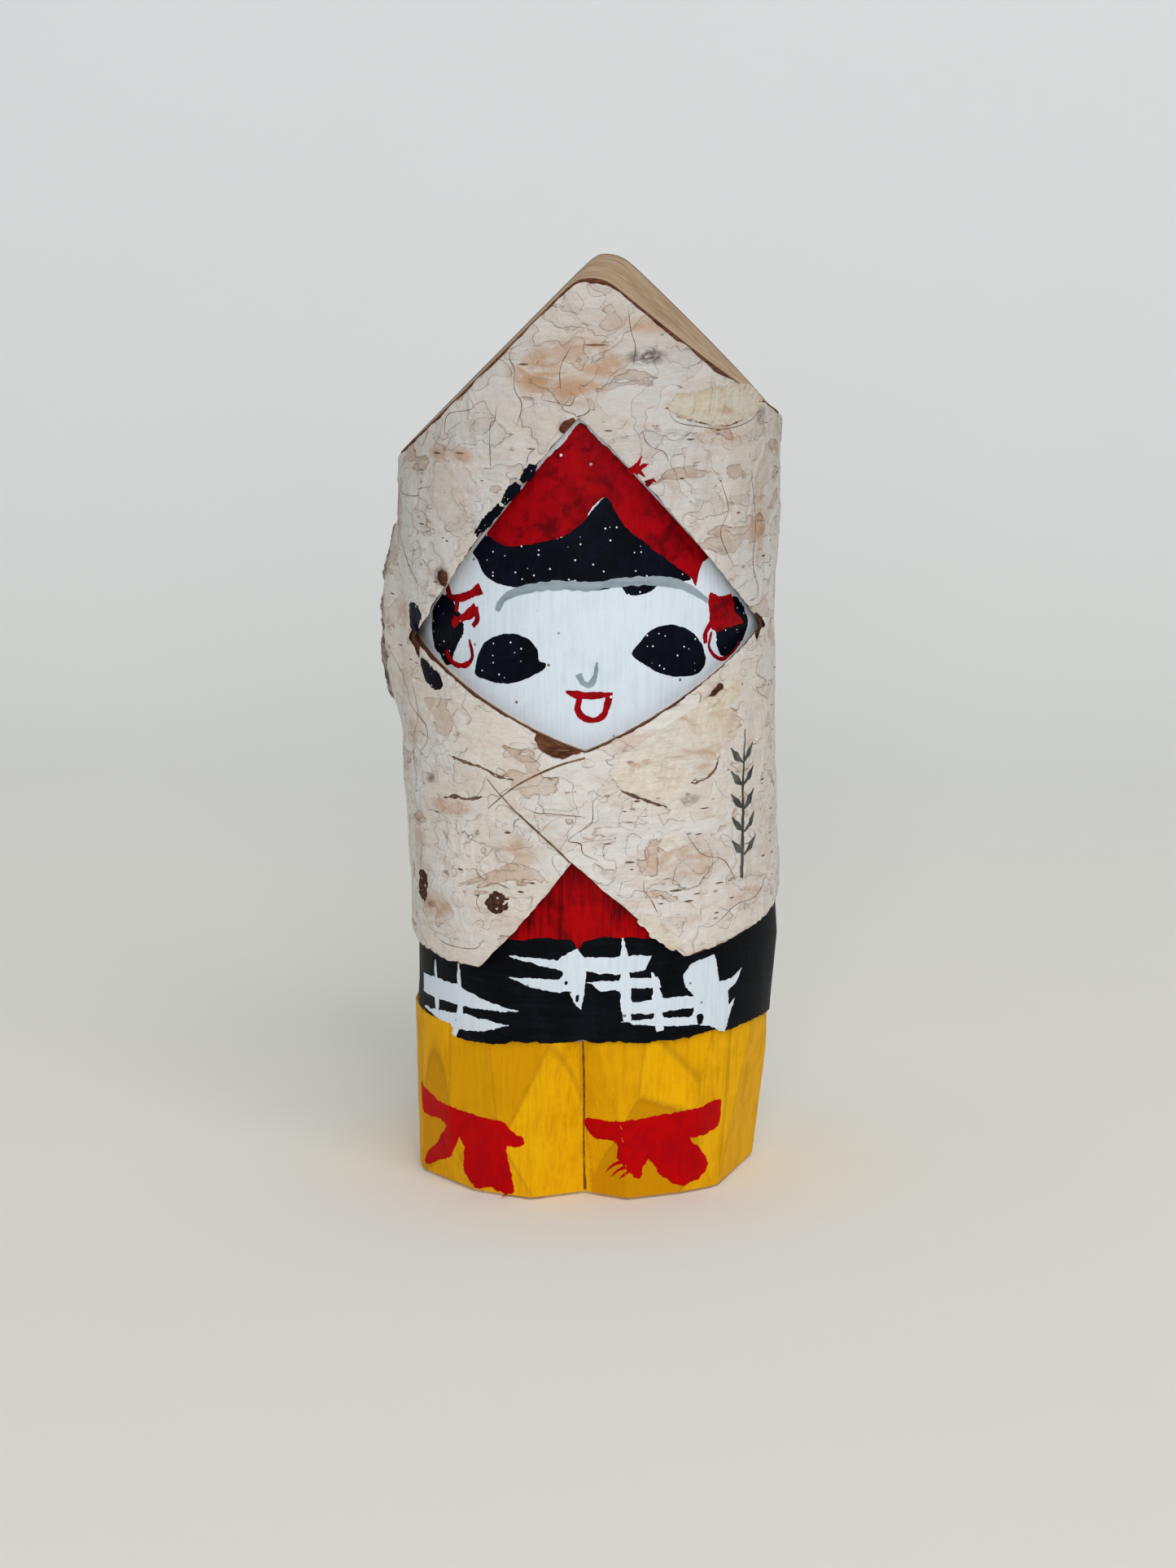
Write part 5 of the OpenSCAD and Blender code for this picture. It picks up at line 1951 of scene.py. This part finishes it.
@dataclass(frozen=True)
class Facet:
    """One chisel cut on the boots.

    The cut's middle is at a direction and a height; it lies some depth inside the round, and it
    leans in towards the sole and turns sideways by some degrees.
    """

    direction: float
    height: float
    depth: float
    lean: float = 0.0
    turn: float = 0.0

    def reach(self, angle: np.ndarray, z: np.ndarray, radius: float) -> np.ndarray:
        """Distance from the log's middle to the cut, in every direction.

        Args:
            angle: Directions.
            z: Heights.
            radius: The round's radius.

        Returns:
            The distances, very large where the cut never comes.
        """
        facing = math.radians(self.direction + self.turn)
        lean = math.radians(self.lean)
        spot = math.radians(self.direction)
        along = (radius - self.depth) * math.cos(facing - spot) * math.cos(lean)
        across = np.cos(angle - facing) * math.cos(lean)
        away = along + (z - self.height) * math.sin(lean)
        return np.where(across > 0.2, away / np.maximum(across, 0.2), FAR)


@dataclass
class BootSizes:
    """Sizes of the boots in millimetres and degrees."""

    sole_gap: float = 0.6
    groove_base: float = 9.3
    groove_top: float = 2.5
    groove_half: float = 62.0
    softness: float = 0.04
    rim_width: float = 0.16
    ref: float = 35.5
    facets: Sequence[Facet] = (
        Facet(-144, 0, 0.6, 0.7), Facet(-110, 0, 0.7, 0.7), Facet(-78, 0, 0.6, 0.3), Facet(30, 0, 1.1, 1.7),
        Facet(52, 0, 2.5, 3.8), Facet(75, 0, 5.1, 8.1), Facet(105, 0, 3.0, 4.6), Facet(142, 0, 1.2, 1.7),
        Facet(180, 0, 0.6, 0.7), Facet(-22, 28, 0.62, -1.5), Facet(-39, 25, 0.6, 0.5),
        Facet(-17, 15, 1.0, 3.5, 5), Facet(-36, 8, 0.9, 3.5, 0), Facet(9, 27, 0.8, 0, 3),
        Facet(32, 29, 0.75, -2.5), Facet(26, 22, 0.95, 7.0), Facet(26, 12, 1.35, 1.5, 2),
        Facet(60, 22, 1.2, 4.0), Facet(-58, 10, 0.8, 2.5), Facet(-52, 3, 1.6, 12), Facet(-24, 3, 1.7, 10),
        Facet(38, 3, 2.6, 11), Facet(-90, 14, 0.8, 2), Facet(-128, 20, 0.7, -1), Facet(160, 18, 0.9, 1),
        Facet(124, 15, 1.6, 3), Facet(-160, 12, 0.8, 1),
    )
    bow_left: Sequence[Path] = (
        ((-44.9, 19.0), (-41, 18.8), (-36, 17.4), (-30, 17.2), (-22, 16.6), (-16.7, 16.6), (-14, 14.4),
         (-12.2, 13.4), (-12.8, 11.5), (-17.7, 11.4), (-24, 11.6), (-29, 12.4), (-36, 13.4), (-43.6, 13.6)),
        ((-30.6, 14.6), (-27.2, 13.8), (-28.4, 10.4), (-31.2, 6.4), (-35, 4.8), (-40.4, 2.4), (-43, 2.2),
         (-40.6, 5.4), (-36.1, 8.6)),
        ((-29.0, 14.6), (-17.6, 14.2), (-15.6, 10), (-14.9, 4), (-15.2, 0.9), (-20, 1.4), (-24.0, 1.0),
         (-26.8, 4.0), (-26.6, 9.4)),
    )
    bow_right: Sequence[Path] = (
        ((-0.1, 16.8), (2.6, 17.2), (8.7, 17.6), (18, 18.2), (26, 18.8), (31.4, 19.2), (32.2, 16.4),
         (31.4, 13.6), (29, 12.6), (20.9, 12.4), (12, 12.4), (5, 13.0), (3.4, 12.6), (1.4, 13.8)),
        ((7.0, 14.4), (17, 14.6), (16, 11), (13.2, 7.4), (12.2, 4.6), (9.6, 6.6), (7.6, 9.4), (7.4, 12)),
        ((13, 14.4), (20.4, 14.4), (24.4, 11), (28.4, 7), (27.9, 4.0), (24.9, 2.2), (21, 2.3), (17.6, 4.6),
         (14.6, 8.4)),
    )
    bristles: Sequence[Path] = (
        ((9.4, 9.2), (6.8, 7.6), (5.2, 5.6)), ((10.2, 8.2), (7.8, 6.6), (6.4, 4.8)), ((10.8, 7.4),
         (9.0, 5.8), (8.0, 4.6)),
    )


class Boots:
    """The chiselled yellow boots and their painted bows."""

    def __init__(self, log: LogSizes, palette: Palette) -> None:
        """Keeps the sizes and finishes."""
        self.log = log
        self.palette = palette
        self.sizes = BootSizes()
        self.paint_r = log.wood_r + 0.25
        self.skin: Optional[Skin] = None

    def form(self, turn: np.ndarray, z: np.ndarray) -> np.ndarray:
        """Radius of the boots: the nearest chisel cut, and the groove between the feet."""
        s = self.sizes
        reaches = [np.full(len(turn), self.paint_r)]
        reaches += [facet.reach(turn, z, self.paint_r) for facet in s.facets]
        depth = s.groove_base + (s.groove_top - s.groove_base) * z / self.log.boots_h
        tip = self.paint_r - depth
        wide = math.tan(math.radians(s.groove_half))
        open_way = np.cos(turn) * wide - np.abs(np.sin(turn))
        reaches.append(np.where(open_way > 0.2, tip * wide / np.maximum(open_way, 0.2), FAR))
        stack = np.array(reaches)
        nearest = stack.min(0)
        soft = -s.softness * np.log(np.exp(-(stack - nearest) / s.softness).sum(0))
        spots = [Vector((math.sin(a) * 26, math.cos(a) * 26, h / 7)) for a, h in zip(turn, z)]
        return nearest + soft + np.array([noise.fractal(p, 0.8, 2, 3) * 0.05 for p in spots])

    def _write_cuts(self, piece: bpy.types.Object) -> None:
        """Stores each place's chisel-cut tone, partly painted shade for how light falls on that facet and
        partly uneven paint, and how near it is to the cut's rim.
        """
        turn, z = places(piece)
        stack = np.array([facet.reach(turn, z, self.paint_r) for facet in self.sizes.facets])
        dice = random.Random(31)
        cut_tones_and_shade = np.array([dice.random() for _ in self.sizes.facets])
        order = np.sort(stack, axis=0)
        open_round = order[0] > self.paint_r
        tone = np.where(open_round, 0.3, cut_tones_and_shade[stack.argmin(0)])
        rim = np.clip(1 - np.abs(np.minimum(order[1], self.paint_r) - order[0]) / self.sizes.rim_width, 0, 1)
        store(piece, "cut", tone)
        store(piece, "rim", rim)

    def build_groove(self) -> None:
        """A dark ochre strip along the bottom of the groove between the feet: painted shadow of the knife
        line there.
        """
        line = ((0.3, 1.0), (0.1, 12), (0.35, 22), (0.2, 34.2))
        loop = brush_line(line, (0.7, 0.4, 0.55, 0.4), seed=3.0)
        panel = Panel([ragged(loop, 0.12, 1.5, 3.0)], step=0.6, seed=19)
        lift, sink = self.skin.radius(0.05, self.paint_r), self.skin.radius(-0.25, self.paint_r - 1)
        piece = panel.wrap("boot_groove_shadow", self.sizes.ref, lift, sink)
        dress(piece, self.palette.groove, "yellow_paint", crease=60)

    def build_shell(self) -> bpy.types.Object:
        """The yellow coat of paint over the chisel cuts."""
        log = self.log
        half = math.pi * self.paint_r
        low, high = self.sizes.sole_gap, log.boots_h + 0.6
        count = 400
        x = np.linspace(-half, half, count)
        side = np.linspace(low, high, 60)[1:-1]
        loop = np.vstack([
            np.column_stack([x, np.full(count, low)]),
            np.column_stack([np.full(58, half), side]),
            np.column_stack([x[::-1], np.full(count, high)]),
            np.column_stack([np.full(58, -half), side[::-1]]),
        ])
        panel = Panel([loop], step=0.62, seed=17)

        def inner(turn: np.ndarray, z: np.ndarray) -> np.ndarray:
            """The coat's hidden inner face."""
            return self.form(turn, z) - 1.2

        piece = panel.wrap("boots_shell", self.paint_r, self.form, inner, coarse=2.2, seam=half)
        self._write_cuts(piece)
        self.skin = Skin(piece)
        return dress(piece, self.palette.yellow, "yellow_paint", ("boots_yellow",), crease=70)

    def build_bows(self) -> None:
        """The painted bows on the toes."""
        s = self.sizes
        for name, node, shapes, lines in (
            ("boot_bow_l", "bow_left", s.bow_left, ()),
            ("boot_bow_r", "bow_right", s.bow_right, s.bristles),
        ):
            loops = []
            for i, points in enumerate(shapes):
                loop = even(smooth(points, per_span=3), 0.4)
                loops.append(ragged(ragged(loop, 0.35, 2.0, i + 3.0), 0.22, 0.6, i + 8.0))
            loops += [brush_line(line, (1.2, 0.6, 0.08), 0.4, i) for i, line in enumerate(lines)]
            panel = Panel(loops, step=0.6, seed=18)
            lift, sink = self.skin.radius(0.10, self.paint_r), self.skin.radius(-0.2, self.paint_r - 1)
            piece = panel.wrap(name, s.ref, lift, sink, rim_drop=0.04)
            dress(piece, self.palette.bow, "bow_paint", (node,), crease=60)

    def build(self) -> None:
        """Builds the boots."""
        self.build_shell()
        self.build_groove()
        self.build_bows()


# ---------------------------------------------------------------- studio


@dataclass
class Studio:
    """Floor, wall, lights and camera."""

    distance: float = 0.900
    eye_height: float = 0.2502
    azimuth: float = 3.0
    aim: float = 3.04
    pitch: float = 10.63
    lens: float = 99.83
    wall_y: float = 0.9
    wall_z: float = 1.5
    curve: float = 0.45
    reach: float = 8.0

    def build_set(self) -> None:
        """A sheet of paper that runs from the floor up the wall."""
        profile = [(-self.reach, 0.0), (self.wall_y - self.curve, 0.0)]
        for i in range(1, 13):
            a = math.pi / 2 * i / 12
            y = self.wall_y - self.curve + self.curve * math.sin(a)
            profile.append((y, self.curve * (1 - math.cos(a))))
        profile.append((self.wall_y, self.wall_z))
        verts = [(x, y, z) for y, z in profile for x in (-self.reach, self.reach)]
        faces = [(2 * i, 2 * i + 1, 2 * i + 3, 2 * i + 2) for i in range(len(profile) - 1)]
        sheet = new_piece("paper_sweep", np.array(verts), faces)
        sheet.data.materials.append(StudioPaper().make())
        pick(sheet)
        bpy.ops.object.shade_smooth()

    def build_light(self) -> None:
        """Soft light from all round, a smaller lamp from the upper right and a large lamp in front."""
        world = bpy.data.worlds.new("soft_room")
        world.use_nodes = True
        back = world.node_tree.nodes["Background"]
        back.inputs["Color"].default_value = (0.93, 0.965, 1.0, 1.0)
        back.inputs["Strength"].default_value = 0.43
        bpy.context.scene.world = world
        for name, place, size, power in (
            ("key", (0.45, -0.95, 1.3), 0.8, 6.5),
            ("front", (0.3, -4.0, 1.3), 1.6, 56.0),
        ):
            lamp = bpy.data.lights.new(name, "AREA")
            lamp.energy = power
            lamp.size = size
            lamp.color = (1.0, 0.99, 0.975)
            holder = bpy.data.objects.new(name, lamp)
            bpy.context.scene.collection.objects.link(holder)
            holder.location = place
            aim = Vector((0, 0, 0.09)) - Vector(place)
            holder.rotation_euler = aim.to_track_quat("-Z", "Y").to_euler()

    def build_camera(self) -> None:
        """The camera, level with the hood and looking slightly down."""
        turn = math.radians(self.azimuth)
        lens = bpy.data.cameras.new("camera")
        lens.lens = self.lens
        lens.sensor_width = 36.0
        lens.clip_end = 20.0
        camera = bpy.data.objects.new("camera", lens)
        bpy.context.scene.collection.objects.link(camera)
        camera.location = (self.distance * math.sin(turn), -self.distance * math.cos(turn), self.eye_height)
        camera.rotation_euler = (math.radians(90 - self.pitch), 0, math.radians(self.aim))
        bpy.context.scene.camera = camera

    def build(self) -> None:
        """Builds the set."""
        self.build_camera()
        self.build_set()
        self.build_light()
        bpy.context.scene.view_settings.view_transform = "Standard"


# ---------------------------------------------------------------- all of it


def main() -> None:
    """Builds the doll from the inside out, then its surroundings."""
    logging.basicConfig(level=logging.INFO, format="%(message)s")
    log = LogSizes.measured()
    palette = Palette()
    clothes = Clothes(log, palette)
    boots = Boots(log, palette)
    Core(log, palette, clothes.skin(0.0), boots.form).build()
    Bark(log, palette).build()
    Face(log, palette).build()
    clothes.build()
    boots.build()
    Studio().build()


if __name__ == "__main__":
    main()
